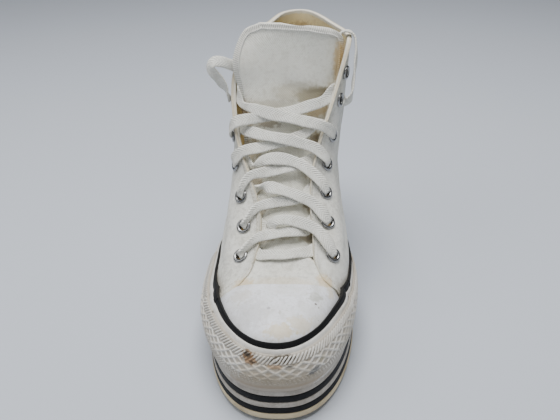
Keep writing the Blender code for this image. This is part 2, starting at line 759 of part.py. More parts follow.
def throat_row(distance):
    """The row of the quarter's table at a distance up the throat's edge."""
    rows = np.linspace(0, COLLAR_CORNER_ROW, 141)
    edge = [quarter_rib(OUTER, row)[3] * (0, 1, 1) for row in rows]
    run = np.cumsum([0.0] + [np.linalg.norm(b - a) for a, b in zip(edge, edge[1:])])
    return float(np.interp(distance, run, rows))


EYELET_ROWS = {side: [throat_row(at) for at, _ in EYELET_PLACES[side]] for side in (OUTER, INNER)}


def eyelet_frame(side, index):
    """An eyelet's place on the upper's base surface, the way out of it and the way up along the throat."""
    row = EYELET_ROWS[side][index]
    _, from_edge = EYELET_PLACES[side][index]
    v = share_at_distance(quarter_rib(side, row), 1.0, -from_edge)
    out = normal(side, 1 + row, v, True)
    up = surface(side, 1 + row + 0.01, v, True) - surface(side, 1 + row - 0.01, v, True)
    up -= out * (up @ out)
    return surface(side, 1 + row, v, True), out, up / np.linalg.norm(up)


def eyelet(name, side, index, metal):
    centre, out, up = eyelet_frame(side, index)
    across = np.cross(up, out)
    turns = [2 * math.pi * i / EYELET_SIDES for i in range(EYELET_SIDES)]
    arms = [math.cos(a) * across + math.sin(a) * up for a in turns]
    return ring(name, [[centre + out * h + r * arm for r, h in EYELET_PROFILE] for arm in arms], metal)


def bore(cloth_wall, side, index):
    """Cuts an eyelet's hole in the wall."""
    centre, out, _ = eyelet_frame(side, index)
    radius = (EYELET_BARREL + GAP) * MM
    bpy.ops.mesh.primitive_cylinder_add(vertices=EYELET_SIDES, radius=radius, depth=BORE_DEPTH * MM)
    cutter = bpy.context.object
    cutter.location = place(centre)
    cutter.rotation_euler = Vector(out).to_track_quat("Z", "Y").to_euler()
    cut = cloth_wall.modifiers.new("eyelet_hole", "BOOLEAN")
    cut.operation = "DIFFERENCE"
    cut.object = cutter
    return cutter


def apply_modifiers(made):
    """Turns an object's modifiers into its mesh."""
    bpy.context.view_layer.update()
    shaped = bpy.data.meshes.new_from_object(made.evaluated_get(bpy.context.evaluated_depsgraph_get()))
    made.modifiers.clear()
    made.data = shaped


def instep(row, across, height):
    """A point over the throat, at a row of the quarter's table and a height over the throat's edges."""
    row = min(row, COLLAR_CORNER_ROW - 1e-3)
    edge = quarter_rib(OUTER, row)[3]
    return np.array([across, edge[1], edge[2]]) + height * instep_way(row)


def instep_way(row):
    run = quarter_rib(OUTER, row + 0.05)[3] - quarter_rib(OUTER, max(row - 0.05, 0.0))[3]
    way = np.array([0.0, -run[2], run[1]])
    return way / np.linalg.norm(way)


def tongue_point(row, across):
    """A point of the tongue's middle layer: across runs -1 to 1, outer to inner."""
    rows = np.array(TONGUE_ROWS)
    along, up, outer, inner, outer_back, inner_back = smooth(range(len(rows)), rows, row)
    before = smooth(range(len(rows)), rows, max(row - 0.05, 0.0))
    after = smooth(range(len(rows)), rows, min(row + 0.05, len(rows) - 1))
    way = np.array([0.0, -(after[1] - before[1]), after[0] - before[0]])
    way /= np.linalg.norm(way)
    half, back = (outer, outer_back) if across < 0 else (inner, inner_back)
    droop = TONGUE_TILT * max(across, 0.0) * max(0.0, row - TILT_FROM) / (len(rows) - 1 - TILT_FROM)
    return np.array([half * across, along, up + droop]) - way * back * across * across


def tongue(cloth):
    """The tongue, a bent sheet that lies behind the throat and stands out above it."""
    last = len(TONGUE_ROWS) - 1.0
    steps = [0.5 * i for i in range(2 * len(TONGUE_ROWS) - 1)]
    e = 0.02
    columns = []
    for across in TONGUE_ACROSS:
        column = []
        for row in steps:
            run = tongue_point(row, min(across + e, 1.0)) - tongue_point(row, max(across - e, -1.0))
            rise = tongue_point(min(row + e, last), across) - tongue_point(max(row - e, 0.0), across)
            way = np.cross(run, rise)
            way *= TONGUE_THICK / 2 / np.linalg.norm(way)
            middle = tongue_point(row, across)
            column.append((middle + way, middle - way))
        columns.append(column)
    return shell("tongue", [columns], cloth)


def curve_through(points, steps, carried):
    """Even points on the smooth curve through a few, and the values that they carry."""
    points = np.array(points)
    run = np.cumsum([0.0] + [np.linalg.norm(b - a) for a, b in zip(points, points[1:])])
    places = np.linspace(0, run[-1], steps)
    carried = np.array(carried)
    return [smooth(run, points, at) for at in places], [smooth(run, carried, at) for at in places]


def strap_sections(route, steps):
    """Closed sections of a flat lace along a route of (point, way out of its flat face)."""
    middle, ways = curve_through([p for p, _ in route], steps, [w for _, w in route])
    sections = []
    for i, (point, way) in enumerate(zip(middle, ways)):
        run = middle[min(i + 1, steps - 1)] - middle[max(i - 1, 0)]
        run /= np.linalg.norm(run)
        way = way - run * (way @ run)
        way /= np.linalg.norm(way)
        across = np.cross(run, way)
        w, t = LACE_WIDTH / 2, LACE_THICK / 2
        sections.append([point + across * a + way * b for a, b in ((-w, -t), (w, -t), (w, t), (-w, t))])
    return sections


def strap(name, route, steps, cloth):
    """A flat lace as a closed solid along a route."""
    bm = bmesh.new()
    loops = [[bm.verts.new(place(p)) for p in section] for section in strap_sections(route, steps)]
    for one, other in zip(loops, loops[1:]):
        for i in range(4):
            j = (i + 1) % 4
            bm.faces.new((one[i], one[j], other[j], other[i]))
    bm.faces.new(loops[0])
    bm.faces.new(loops[-1][::-1])
    return finish(name, bm, cloth, sharp_deg=60.0)


def strand_route(side, index):
    """The lace from one eyelet across the throat to just under the far edge, below the next eyelet up."""
    low, high = EYELET_ROWS[side][index], EYELET_ROWS[-side][index + 1] - END_BELOW[side][index]
    centre, out, _ = eyelet_frame(side, index)
    edge = quarter_rib(side, low + EDGE_ROW)[3][0]
    far_edge = quarter_rib(-side, high)[3][0]
    middle = (edge + far_edge) / 2
    near_h, middle_h, far_h = CROSSING_HEIGHTS[side]
    room = CROSSING_ROOM[index]
    first, second = (low + turn * (high - low) for turn in STRAND_TURNS)
    halfway = instep_way((low + high) / 2)
    return [
        (centre + out * (FLANGE_TOP + OVER_EYELET + LACE_THICK / 2), out),
        (instep(low + EDGE_ROW, edge + side * ROUND_EDGE, near_h + room), instep_way(low)),
        (instep(first, (edge + middle) / 2, middle_h + room / 2), halfway),
        (instep(second, (far_edge + middle) / 2, far_h), halfway),
        (instep(high, far_edge + side * SHORT_OF_EDGE, END_HEIGHT), instep_way(high)),
    ]


def lace_crossing(index, cloth):
    """Two strands that cross over the tongue, as one solid."""
    under = strap(f"lace_crossing_{index + 1}", strand_route(OUTER, index), STRAND_STEPS, cloth)
    over = strap("strand", strand_route(INNER, index), STRAND_STEPS, cloth)
    join = under.modifiers.new("joined", "BOOLEAN")
    join.operation = "UNION"
    join.object = over
    apply_modifiers(under)
    bpy.data.objects.remove(over)
    return under


def route_of(rows):
    """A lace's route from a table of places and of the ways out of its flat face."""
    return [(np.array(row[:3]), np.array(row[3:])) for row in rows]


def lace_bar(cloth):
    """The lace's lowest run, straight across the vamp's end."""
    return strap("lace_bar", route_of(BAR_ROWS), BAR_STEPS, cloth)


def loose_end(name, rows, cloth):
    """One of the lace's free ends, from its eyelet back over the upper's edge."""
    return strap(name, route_of(rows), LOOSE_STEPS, cloth)


def cut_grooves(tread):
    """Cuts the outsole's cross grooves, between its main lugs."""
    reach, deep = GROOVE_CUTTER
    cutters = []
    for at in GROOVES_AT:
        bpy.ops.mesh.primitive_cube_add(size=1.0)
        cutter = bpy.context.object
        cutter.scale = (reach * MM, GROOVE_WIDTH * MM, deep * MM)
        cutter.location = place((0.0, at, FLOOR + lift(at) + GROOVE_DEPTH - deep / 2))
        cut = tread.modifiers.new("groove", "BOOLEAN")
        cut.operation = "DIFFERENCE"
        cut.object = cutter
        cutters.append(cutter)
    apply_modifiers(tread)
    for cutter in cutters:
        bpy.data.objects.remove(cutter)


def main():
    for old in list(bpy.data.objects):
        bpy.data.objects.remove(old)
    canvas = material("canvas", (0.80, 0.79, 0.75), 0.9)
    white_rubber = material("white_rubber", (0.82, 0.80, 0.76), 0.5)
    black_rubber = material("black_rubber", (0.015, 0.015, 0.018), 0.45)
    tan_rubber = material("tan_rubber", (0.62, 0.45, 0.22), 0.5)
    metal = material("eyelet_metal", (0.72, 0.73, 0.74), 0.25, 1.0)
    lace_cloth = material("lace_cloth", (0.83, 0.82, 0.79), 0.9)
    lining = material("lining", (0.62, 0.50, 0.32), 0.9)
    sole(white_rubber, black_rubber, tan_rubber)
    insole(lining)
    cloth_wall = upper(canvas)
    cutters = []
    for side, name in ((OUTER, "outer"), (INNER, "inner")):
        for index in range(EYELETS):
            eyelet(f"eyelet_{name}_{index + 1}", side, index, metal)
            cutters.append(bore(cloth_wall, side, index))
    apply_modifiers(cloth_wall)
    for cutter in cutters:
        bpy.data.objects.remove(cutter)
    toe_cap(white_rubber)
    foxing(white_rubber)
    toe_bumper(white_rubber)
    stripe(black_rubber)
    tongue(canvas)
    lace_bar(lace_cloth)
    for index in range(CROSSINGS):
        lace_crossing(index, lace_cloth)
    loose_end("lace_end_outer", OUTER_END, lace_cloth)
    loose_end("lace_end_inner", INNER_END, lace_cloth)


main()
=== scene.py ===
"""Worn canvas high-top sneaker on a layered platform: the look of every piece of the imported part.

Lengths are worked out in millimetres and placed in metres. A place on the shoe is (across, along, up):
across is positive towards the inner side, along runs from the toe tip to the heel, and up is measured
from the outsole's top, so that the floor lies at a height of its own below it.
"""

import math

import bmesh
import bpy
import numpy as np
from mathutils import Euler, Matrix, Vector


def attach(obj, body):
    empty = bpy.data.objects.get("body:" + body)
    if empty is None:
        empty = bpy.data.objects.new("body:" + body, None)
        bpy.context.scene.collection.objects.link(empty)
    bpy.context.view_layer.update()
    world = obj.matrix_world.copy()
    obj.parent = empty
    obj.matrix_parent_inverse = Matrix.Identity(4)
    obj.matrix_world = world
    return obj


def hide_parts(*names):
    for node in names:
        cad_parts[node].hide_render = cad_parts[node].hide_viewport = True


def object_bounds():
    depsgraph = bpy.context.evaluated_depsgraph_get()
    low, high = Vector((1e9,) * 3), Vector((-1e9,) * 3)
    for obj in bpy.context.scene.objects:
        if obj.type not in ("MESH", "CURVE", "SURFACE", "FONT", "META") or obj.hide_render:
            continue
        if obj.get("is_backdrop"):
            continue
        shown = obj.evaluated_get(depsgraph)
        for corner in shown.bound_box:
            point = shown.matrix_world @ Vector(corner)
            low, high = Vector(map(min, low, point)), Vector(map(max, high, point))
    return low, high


bl_info = {
    "name": "Worn canvas high-top sneaker",
    "version": (1, 0, 0),
    "blender": (4, 5, 0),
    "location": "View3D > Sidebar > Sneaker",
    "description": "Dresses the packed part of a worn canvas sneaker in cloth, rubber, lace and metal",
    "category": "Object",
}

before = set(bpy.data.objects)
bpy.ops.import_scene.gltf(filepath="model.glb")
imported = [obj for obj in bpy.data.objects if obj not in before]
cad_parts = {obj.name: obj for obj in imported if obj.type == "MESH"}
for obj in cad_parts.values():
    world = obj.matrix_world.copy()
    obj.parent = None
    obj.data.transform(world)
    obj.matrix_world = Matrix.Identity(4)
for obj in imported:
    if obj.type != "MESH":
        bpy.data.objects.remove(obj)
CAD_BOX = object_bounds()

MM = 0.001
OUTER, INNER = -1, 1  # the two sides of the shoe: outer is lateral, inner is medial
SIDES = ((OUTER, "outer"), (INNER, "inner"))
COLUMN = {OUTER: 1, INNER: 2}  # where a table with a value for each side keeps it
GAP = 0.3  # what curved pieces keep between them
LENGTH = 272.0
# The sole's outline and layers, as in the part
BALL_AT = 94.0  # where the toe's curve ends, at the widest point
BREAST_AT = 232.0  # where the heel's curve starts
TOE_SHIFT = 3.0  # the toe tip lies this far to the inner side
TOE_ALONG, TOE_ACROSS = 2.05, 2.43  # how square the toe's curve is
HEEL_POWER = 2.2
# Columns: along, outer half width, inner half width
WAIST_ROWS = (
    (BALL_AT, 52, 50.5), (120, 52.5, 47.5), (150, 49.5, 41), (190, 42.5, 37), (BREAST_AT, 38.5, 37),
)
FLOOR = -5.0
OUTSOLE_TOP = 0.0
LOWER_STRIPE = (0.3, 4.7)
UPPER_STRIPE = (9.2, 14.0)
DECK = 18.0  # the platform's top, which carries the upper
STRIPE_DEPTH = 1.5
FLARE = 1.8  # the platform is this much smaller all round at its top
TREAD_EDGE = (0.8, 1.5)  # how far the outsole's lower edge is cut back, and how high
TOE_SPRING, SPRING_END = 3.6, 78.0
HEEL_ROLL, ROLL_START = 1.2, 256.0
INSOLE_THICK, INSOLE_INSET = 3.5, 9.5
GROOVES_AT = (40, 58, 76, 94, 112, 210, 228, 246)
GROOVE_WIDTH, GROOVE_DEPTH = 3.0, 1.8
MIDDLE = (-1.81, LENGTH / 2 - 0.44)

# The upper's wall and what lies on it, as in the part
WALL = 1.3  # the vamp's cloth
SEAM_ROOM = 0.6  # more room under the rubber where the quarters' front edges pass beneath it
QUARTER_STEP = 1.0  # the quarters are laid over the vamp and stand this much higher
# Columns: around, inset of the upper's foot
FOOT_INSET_ROWS = ((0, 7.6), (0.5, 7.4), (0.85, 6.2), (1.1, 5.6), (3, 6))
# Columns: along, up
RIDGE_ROWS = ((22, 57.6), (35, 59.5), (45, 60.6), (54, 61.8), (70, 66), (80, 71), (92, 78))
RIDGE_ACROSS = 3.8
# Columns: around, ridge at, rise, lean, reach, slide
FORE_ROWS = (
    (0.00, 22, 34, 0.5, 0, 11),
    (0.25, 27, 34, 0.5, 9, 10),
    (0.47, 35, 34, 0.5, 20, 6),
    (0.64, 45, 35, 0.5, 28, 2),
    (0.75, 52.5, 36, 0.5, 32, -1),
    (0.78, 79, 40, 1, 25, 14),
)
CAP_REAR = 4.0 / 5.0  # the toe cap ends on the fifth row
LEVEL_AT_HEEL = (1, 2, 3, 4, 5, 10, 11)  # the columns that run level into the back seam
# Columns: around, rise, outer lean, inner lean, top along, top up,
# outer top, inner top, outer spread, inner spread, back, drop
QUARTER_ROWS = (
    (0.88, 44, 0, 3, 89, 75, 12.5, 21.5, 20, 20, -1, 4),
    (1.02, 50, -0.5, 6, 103.5, 89, 14.5, 19.5, 17, 18.5, -1, 5),
    (1.20, 56, -2, 8.5, 117.5, 105, 21.5, 20, 13, 16.5, 1, 8),
    (1.36, 62, -5, 9, 131, 122, 29, 24.5, 7, 13, 3, 14),
    (1.50, 66, -8, 7, 143.5, 141, 33, 31.5, 2.5, 9, 5, 20),
    (1.62, 70, -9, 5, 154.5, 162, 33, 38.5, 2, 4, 6, 28),
    (1.74, 72, -8, 3, 165, 184, 25.5, 45, 5, -1, 6, 40),
    (1.90, 68, -6, 2, 190, 184, 22.5, 43.5, 8, -2, 2, 46),
    (2.10, 64, -2, 1, 220, 183, 14, 33, 11, 0, -4, 50),
    (2.50, 54, 4, 4, 252, 182.5, 7, 19.5, 8, -1, -6, 56),
    (3.00, 48, 7, 7, 265, 182, -7, 7, 3.5, -3.5, -6, 60),
)
THROAT_BASE = {OUTER: 15.5, INNER: 23.0}  # half widths of the throat where it starts
LAST_ROW = len(QUARTER_ROWS)
LAST_STATION = 1.0 + LAST_ROW
COLLAR_CORNER_ROW = 7  # the throat's edge ends on this row, counting its base as 0

# Rubber on the upper, as in the part
CAP_THICK = 1.7
STRIPE_TAPE = 1.4
# Columns: around, the tape's width
TAPE_WIDTH_ROWS = ((0, 2.9), (0.5, 3.3), (0.8, 4.3), (1.2, 4.6), (3, 4.6))
# Columns: around, height of the foxing's top edge
FOXING_ROWS = ((0, 50), (0.4, 48), (0.76, 45.5), (1, 43), (1.5, 42), (2.2, 42.5), (3, 44))
FOXING_LIP = 1.8  # the foxing's thickness at its top edge
FOXING_TUCK = 0.5  # the foxing ends this far below the tape
FOXING_FOOT = 1.6  # the foxing's foot lies this far in from the sole's edge
# Columns: around, how far its middle is drawn out on the outer side, on the inner side
BULGE_ROWS = (
    (0, 2.6, 2.6), (0.5, 3.6, 3.2), (0.8, 9, 4.6), (1.2, 10.5, 5), (1.7, 7, 4.5), (3, 3.5, 3.5),
)
BUMPER_END = 1.18  # how far round the bumper reaches
BUMPER_TAPER = 0.5  # the run of stations over which it thins out
BUMPER_FROM, BUMPER_TO = 0.13, 0.93  # its edges on the foxing's face
BUMPER_THIN = 0.3

# Eyelets, tongue and lace, as in the part
EYELETS = 7
# Columns: how far up the throat's edge, how far from it
EYELET_PLACES = {
    OUTER: ((10.5, 12.5), (31, 12.5), (53, 11), (77.5, 11), (99.5, 12), (125.5, 12.5), (140, 11.5)),
    INNER: ((14, 15), (34.5, 12.5), (56, 12), (77, 11), (99, 11.5), (125, 12), (144.5, 12.5)),
}
EYELET_BARREL = 3.4
# Columns: along, up, outer half, inner half, outer setback, inner setback
TONGUE_ROWS = (
    (66, 58, 14, 18, 3.5, 4),
    (78, 64, 19, 24, 5, 6.5),
    (90, 72, 23, 27, 6, 7),
    (104, 85.5, 25, 27, 6, 6.5),
    (118.5, 100.5, 26.5, 27, 6.5, 7.5),
    (131.5, 117.5, 27, 29, 6, 9.5),
    (143, 137, 28, 32.5, 5, 11.5),
    (149.5, 155, 30.5, 36.5, 2.5, 13.5),
    (153, 172, 33, 39.5, -0.5, 14.5),
    (156, 188, 28, 39, 3, 13.5),
    (157, 194.5, 20, 33, 3, 9),
    (157.5, 198, 14, 19, 1, 3),
)
TONGUE_THICK = 2.2
TONGUE_TILT, TILT_FROM = -3.5, 7  # the top's inner corner hangs this much lower, from this row up
CROSSINGS = 5
CROSSING_ROOM = (1.4, 0.0, 0.0, 0.2, 1.4)  # how much higher a crossing passes: the first lies over the bar
ROUND_EDGE = 0.8  # how far out a strand turns over its own edge
SHORT_OF_EDGE, END_HEIGHT = 4.6, -0.3  # a strand ends this far inside the far edge, just under it
# Columns: across, along, up, face across, face along, face up
BAR_ROWS = (
    (-12.5, 74.9, 68.5, -0.2, -0.45, 0.87),
    (-4, 73.9, 69.6, -0.1, -0.45, 0.89),
    (4, 73.6, 69.8, 0, -0.45, 0.89),
    (12, 75.2, 70.2, 0.1, -0.45, 0.89),
    (19.5, 78.5, 68.8, 0.15, -0.45, 0.88),
)
OUTER_END = (
    (-37.9, 155, 145.4, -1, 0, 0),
    (-39.4, 153.6, 150.5, -0.95, -0.2, 0),
    (-41.2, 152, 156, -0.55, -0.8, -0.2),
    (-43.5, 150.8, 161.6, -0.2, -0.95, -0.2),
    (-46.8, 150.2, 166.2, -0.15, -0.97, -0.1),
    (-48.2, 150.4, 169.8, -0.5, -0.82, 0.2),
    (-46.2, 151.2, 173, -0.3, -0.8, 0.5),
    (-41.5, 152.4, 173, 0, -0.9, 0.4),
    (-36.5, 153.8, 171, 0, -0.94, 0.34),
    (-32.3, 155.2, 168.8, 0, -0.95, 0.3),
)
INNER_END = (
    (42.2, 153.4, 145.6, 0.8, -0.5, 0.3),
    (45, 152.6, 145.9, 0.5, -0.8, -0.3),
    (47.3, 153.6, 149.5, 0.8, -0.5, -0.3),
    (48.6, 157, 158, 1, 0, -0.1),
    (50, 162, 169, 1, 0, 0),
    (50.4, 167, 179.5, 1, 0, 0.1),
    (48.9, 171, 186.2, 0.8, 0, 0.6),
    (45, 173.5, 188.4, 0, 0, 1),
    (40.8, 175.8, 187, -0.5, 0, 0.85),
    (37.5, 177.5, 182.5, -0.85, 0, 0.5),
)

# How the picture was taken
PHOTO_SIZE = (560, 420)
PHOTO_FOCAL_PX = 621.0
CAMERA_AT = (38.0, -244.0, 299.0)
CAMERA_DOWN, CAMERA_RIGHT, CAMERA_ROLL = 31.5, -0.1, 0.4  # degrees


# Shape functions, worked out for whole arrays of places at once


def smooth(places, values, at, level_ends=False, level_last=()):
    """Values at places on the smooth curve through a column of values, or through several columns at once."""
    places, values, at = (np.asarray(each, float) for each in (places, values, at))
    slopes = np.gradient(values, places, axis=0)
    if level_ends:
        slopes[0] = slopes[-1] = 0.0
    for column in level_last:
        slopes[-1, column] = 0.0
    i = np.clip(np.searchsorted(places, at, "right") - 1, 0, len(places) - 2)
    span = places[i + 1] - places[i]
    s = (at - places[i]) / span
    if values.ndim > 1:
        s, span = s[..., None], span[..., None]
    return (
        (1 + 2 * s) * (1 - s) ** 2 * values[i]
        + s * (1 - s) ** 2 * span * slopes[i]
        + s * s * (3 - 2 * s) * values[i + 1]
        + s * s * (s - 1) * span * slopes[i + 1]
    )


def table(rows, at, column=1):
    """A column of a short table at values of its first column, level beyond its ends."""
    rows = np.array(rows)
    return smooth(rows[:, 0], rows[:, column], np.clip(at, rows[0, 0], rows[-1, 0]))


def floats(*values):
    """Values as arrays of numbers with one shape."""
    return np.broadcast_arrays(*(np.asarray(each, float) for each in values))


def stack(*parts):
    return np.stack(np.broadcast_arrays(*parts), -1)


def unit(ways):
    return ways / np.maximum(np.linalg.norm(ways, axis=-1, keepdims=True), 1e-12)


def ease(low, high, at):
    """0 below low, 1 above high, and a soft step between."""
    s = np.clip((at - low) / (high - low), 0.0, 1.0)
    return s * s * (3 - 2 * s)


def hump(at, middle, reach):
    """1 at a place, and softly down to 0 on both sides of it."""
    return np.exp(-(((at - middle) / reach) ** 2))


def half_width(side, along):
    rows = np.array(WAIST_ROWS)
    return smooth(rows[:, 0], rows[:, COLUMN[side]], along, level_ends=True)


def outline(side, around, inset=0.0):
    """Points of the sole's edge: around is 0 at the toe, 1 at the ball, 2 at the breast, 3 at the back."""
    toe = np.clip(around, 0, 1) * math.pi / 2
    waist = BALL_AT + (BREAST_AT - BALL_AT) * np.clip(around - 1, 0, 1)
    heel = np.clip(around - 2, 0, 1) * math.pi / 2
    toe_across = (half_width(side, BALL_AT) - inset) * np.sin(toe) ** (2 / TOE_ACROSS)
    toe_along = BALL_AT - (BALL_AT - inset) * np.cos(toe).clip(0) ** (2 / TOE_ALONG)
    heel_across = (half_width(side, BREAST_AT) - inset) * np.cos(heel).clip(0) ** (2 / HEEL_POWER)
    heel_along = BREAST_AT + (LENGTH - BREAST_AT - inset) * np.sin(heel).clip(0) ** (2 / HEEL_POWER)
    across = np.where(around <= 2, side * (half_width(side, waist) - inset), side * heel_across)
    across = np.where(around <= 1, side * toe_across + TOE_SHIFT * (1 - around), across)
    along = np.where(around <= 1, toe_along, np.where(around <= 2, waist, heel_along))
    return stack(across, along)


def outward(side, around):
    """The direction that faces out of the outline, seen from above."""
    step = 1e-3
    run = outline(side, np.clip(around + step, 0, 3)) - outline(side, np.clip(around - step, 0, 3))
    out = unit(side * stack(run[..., 1], -run[..., 0]))
    out[around < step] = (0.0, -1.0)
    out[around > 3 - step] = (0.0, 1.0)
    return out


def lift(along):
    """How far the sole's curve raises it off the floor."""
    toe = TOE_SPRING * np.clip(1 - along / SPRING_END, 0, None) ** 2
    return toe + HEEL_ROLL * np.clip((along - ROLL_START) / (LENGTH - ROLL_START), 0, None) ** 2


def on_deck(places):
    """Places within the outline, put on the platform's top."""
    return stack(places[..., 0], places[..., 1], DECK + GAP + lift(places[..., 1]))


def foot(side, around):
    """Where ribs of the upper stand on the deck."""
    return on_deck(outline(side, around, table(FOOT_INSET_ROWS, around)))


def leaning(start, out, lean, rise):
    """Places above others, further out by a lean."""
    return start + stack(lean * out[..., 0], lean * out[..., 1], rise)


def ridge_slope(along):
    return table(RIDGE_ROWS, along + 0.5) - table(RIDGE_ROWS, along - 0.5)


def rib_shares(v):
    w = 1 - v
    return stack(w**3, 3 * w * w * v, 3 * w * v * v, v**3)


def bezier(ribs, v):
    """Points on ribs: one share for each rib."""
    return np.einsum("...k,...kc->...c", rib_shares(v), ribs)


def bezier_way(ribs, v):
    """The way up along ribs."""
    w = 1 - v
    steps = ribs[..., 1:, :] - ribs[..., :-1, :]
    return np.einsum("...k,...kc->...c", stack(w * w, 2 * w * v, v * v), steps)


def fore_ribs(side, station):
    """Control points of ribs of the toe and vamp; station runs 0 at the toe tip to 1 at the quarter."""
    rows = np.array(FORE_ROWS)
    around, ridge_at, rise, lean, reach, slide = np.moveaxis(
        smooth(range(len(rows)), rows, station * (len(rows) - 1)), -1, 0
    )
    around = around.clip(0)
    start, out = foot(side, around), outward(side, around)
    end = stack(RIDGE_ACROSS, ridge_at, table(RIDGE_ROWS, ridge_at))
    ridge_way = unit(stack(0.0, 1.0, ridge_slope(ridge_at)))
    near_start = leaning(start, out, lean, rise)
    near_end = end + stack(side * reach.clip(0), 0.0, 0.0) - slide[..., None] * ridge_way
    return np.stack([start, near_start, near_end, end], -2)


def lower_part(ribs, share):
    """The lower parts of ribs, up to a share of each."""
    a, b, c, d = np.moveaxis(ribs, -2, 0)
    ab, bc, cd = a + share * (b - a), b + share * (c - b), c + share * (d - c)
    abc, bcd = ab + share * (bc - ab), bc + share * (cd - bc)
    return np.stack([a, ab, abc, abc + share * (bcd - abc)], -2)


HALVINGS = 34


def halve(low, high, too_low):
    """The place between two where a test turns from too low to not, for whole arrays."""
    low, high = np.array(low, float), np.array(high, float)
    for _ in range(HALVINGS):
        middle = (low + high) / 2
        below = too_low(middle)
        low, high = np.where(below, middle, low), np.where(below, high, middle)
    return low


LAST_FORE_RIB = {side: fore_ribs(side, np.array(1.0)) for side, _ in SIDES}
THROAT_SHARE = {
    side: float(halve(0.0, 1.0, lambda v, s=side: s * bezier(LAST_FORE_RIB[s], v)[..., 0] > THROAT_BASE[s]))
    for side, _ in SIDES
}


def first_quarter_row(side):
    """The quarter's front rib, as a row of its table: the last fore rib's lower part."""
    v = THROAT_SHARE[side]
    _, _, near_end, end = lower_part(LAST_FORE_RIB[side], v)
    around, _, rise, lean, _, _ = FORE_ROWS[-1]
    spread = side * (near_end[0] - end[0])
    return (
        around, rise * v, lean * v, lean * v, end[1], end[2], -end[0], end[0],
        spread, spread, near_end[1] - end[1], end[2] - near_end[2],
    )


QUARTER_TABLES = {side: np.array([first_quarter_row(side), *QUARTER_ROWS]) for side, _ in SIDES}


def quarter_ribs(side, row):
    """Control points of ribs of the quarter, at places between the rows of its table."""
    rows = QUARTER_TABLES[side]
    values = np.moveaxis(smooth(range(len(rows)), rows, row, level_last=LEVEL_AT_HEEL), -1, 0)
    pick = 0 if side == OUTER else 1
    around, rise, lean = np.minimum(values[0], 3.0), values[1], values[2 + pick]
    start, out = foot(side, around), outward(side, around)
    near_start = leaning(start, out, lean, rise)
    end = stack(side * values[6 + pick], values[4], values[5])
    near_end = end + stack(side * values[8 + pick], values[10], -values[11])
    return np.stack([start, near_start, near_end, end], -2)


def panel_ribs(side, station, whole=False):
    """Ribs up to the throat's or collar's edge, or over the vamp's stations up to the ridge where whole."""
    station = np.asarray(station, float)
    ribs = quarter_ribs(side, np.clip(station - 1, 0, LAST_ROW))
    ahead = station <= 1 if whole else station < 1
    if ahead.any():
        over_vamp = fore_ribs(side, station[ahead])
        ribs[ahead] = over_vamp if whole else lower_part(over_vamp, THROAT_SHARE[side])
    return ribs


def long_ribs(side, station):
    return panel_ribs(side, station, whole=True)


def on_ribs(make, side, station, v, low, high):
    """Points on ribs and the way out of the surface there."""
    station, v = floats(station, v)
    step = 1e-4
    ribs = make(side, station)
    after = make(side, np.minimum(station + step, high))
    before = make(side, np.maximum(station - step, low))
    way = unit(side * np.cross(bezier(after, v) - bezier(before, v), bezier_way(ribs, v)))
    ends = (station <= 0) | (station >= LAST_STATION)
    way[ends, 0] = 0.0
    return bezier(ribs, v), unit(way)


def fore(side, station, v):
    points, ways = on_ribs(fore_ribs, side, station, v, 0.0, 1.0)
    ridge = unit(stack(0.0, -ridge_slope(points[..., 1]), 1.0))
    at_ridge = ease(0.985, 1.0, np.broadcast_to(v, points.shape[:-1]))[..., None]
    return points, unit(ways * (1 - at_ridge) + ridge * at_ridge)


def panel(side, station, v):
    """The quarter's surface: v runs 0 at the foot to 1 at the throat's or collar's edge."""
    return on_ribs(panel_ribs, side, station, v, 0.0, LAST_STATION)


def wall(side, station, v):
    """The upper's surface under the rubber, on long ribs."""
    station, v = floats(station, v)
    points, ways = panel(side, station, v)
    ahead = station <= 1
    if ahead.any():
        points[ahead], ways[ahead] = fore(side, station[ahead], v[ahead])
    return points, ways


def share_at_height(ribs, up):
    none = np.zeros(ribs.shape[:-2])
    return halve(none, none + 1, lambda v: bezier(ribs, v)[..., 2] < up)


def share_at_distance(ribs, share, distance):
    """How far along ribs points lie that are a straight distance from others, downwards if negative."""
    origin = bezier(ribs, share)
    far = np.abs(distance)

    def away(v):
        return np.linalg.norm(bezier(ribs, v) - origin, axis=-1)

    share = np.broadcast_to(share, ribs.shape[:-2])
    if np.all(np.asarray(distance) > 0):
        return halve(share, np.ones_like(share), lambda v: away(v) < far)
    return halve(np.zeros_like(share), share, lambda v: away(v) > far)


def around_of(side, station):
    station = np.asarray(station, float)
    fore_rows, rows = np.array(FORE_ROWS), QUARTER_TABLES[side]
    ahead = smooth(range(len(fore_rows)), fore_rows[:, 0], np.clip(station, 0, 1) * (len(fore_rows) - 1))
    behind = smooth(range(len(rows)), rows[:, 0], np.clip(station - 1, 0, LAST_ROW))
    return np.clip(np.where(station <= 1, ahead, behind), 0.0, 3.0)


def station_at(side, around):
    return float(halve(0.0, LAST_STATION, lambda s: around_of(side, s) < around))


def foxing_share(side, station):
    return share_at_height(long_ribs(side, station), table(FOXING_ROWS, around_of(side, station)))


def cover(station):
    """How high the cloth or the cap stands under the foxing."""
    edge = QUARTER_STEP + SEAM_ROOM
    share = np.clip((station - CAP_REAR) / (1 - CAP_REAR), 0, 1)
    ahead = (GAP + CAP_THICK) * (1 - share) + edge * share
    return np.where(station < 1, ahead, np.maximum(QUARTER_STEP, edge - SEAM_ROOM * (station - 1)))


# Where the rubber stands further out by the cap's rear corners. Columns: along, outer, inner
FULLER_ROWS = (
    (26, 0, 0), (38, 0.8, 0.1), (50, 1, 0.8), (57, 1.5, 1.4), (63, 2, 1.7), (69, 1.4, 1.3),
    (76, 0.7, 0.3), (92, 0, 0),
)


def fuller(side, point):
    return table(FULLER_ROWS, point[..., 1], COLUMN[side])


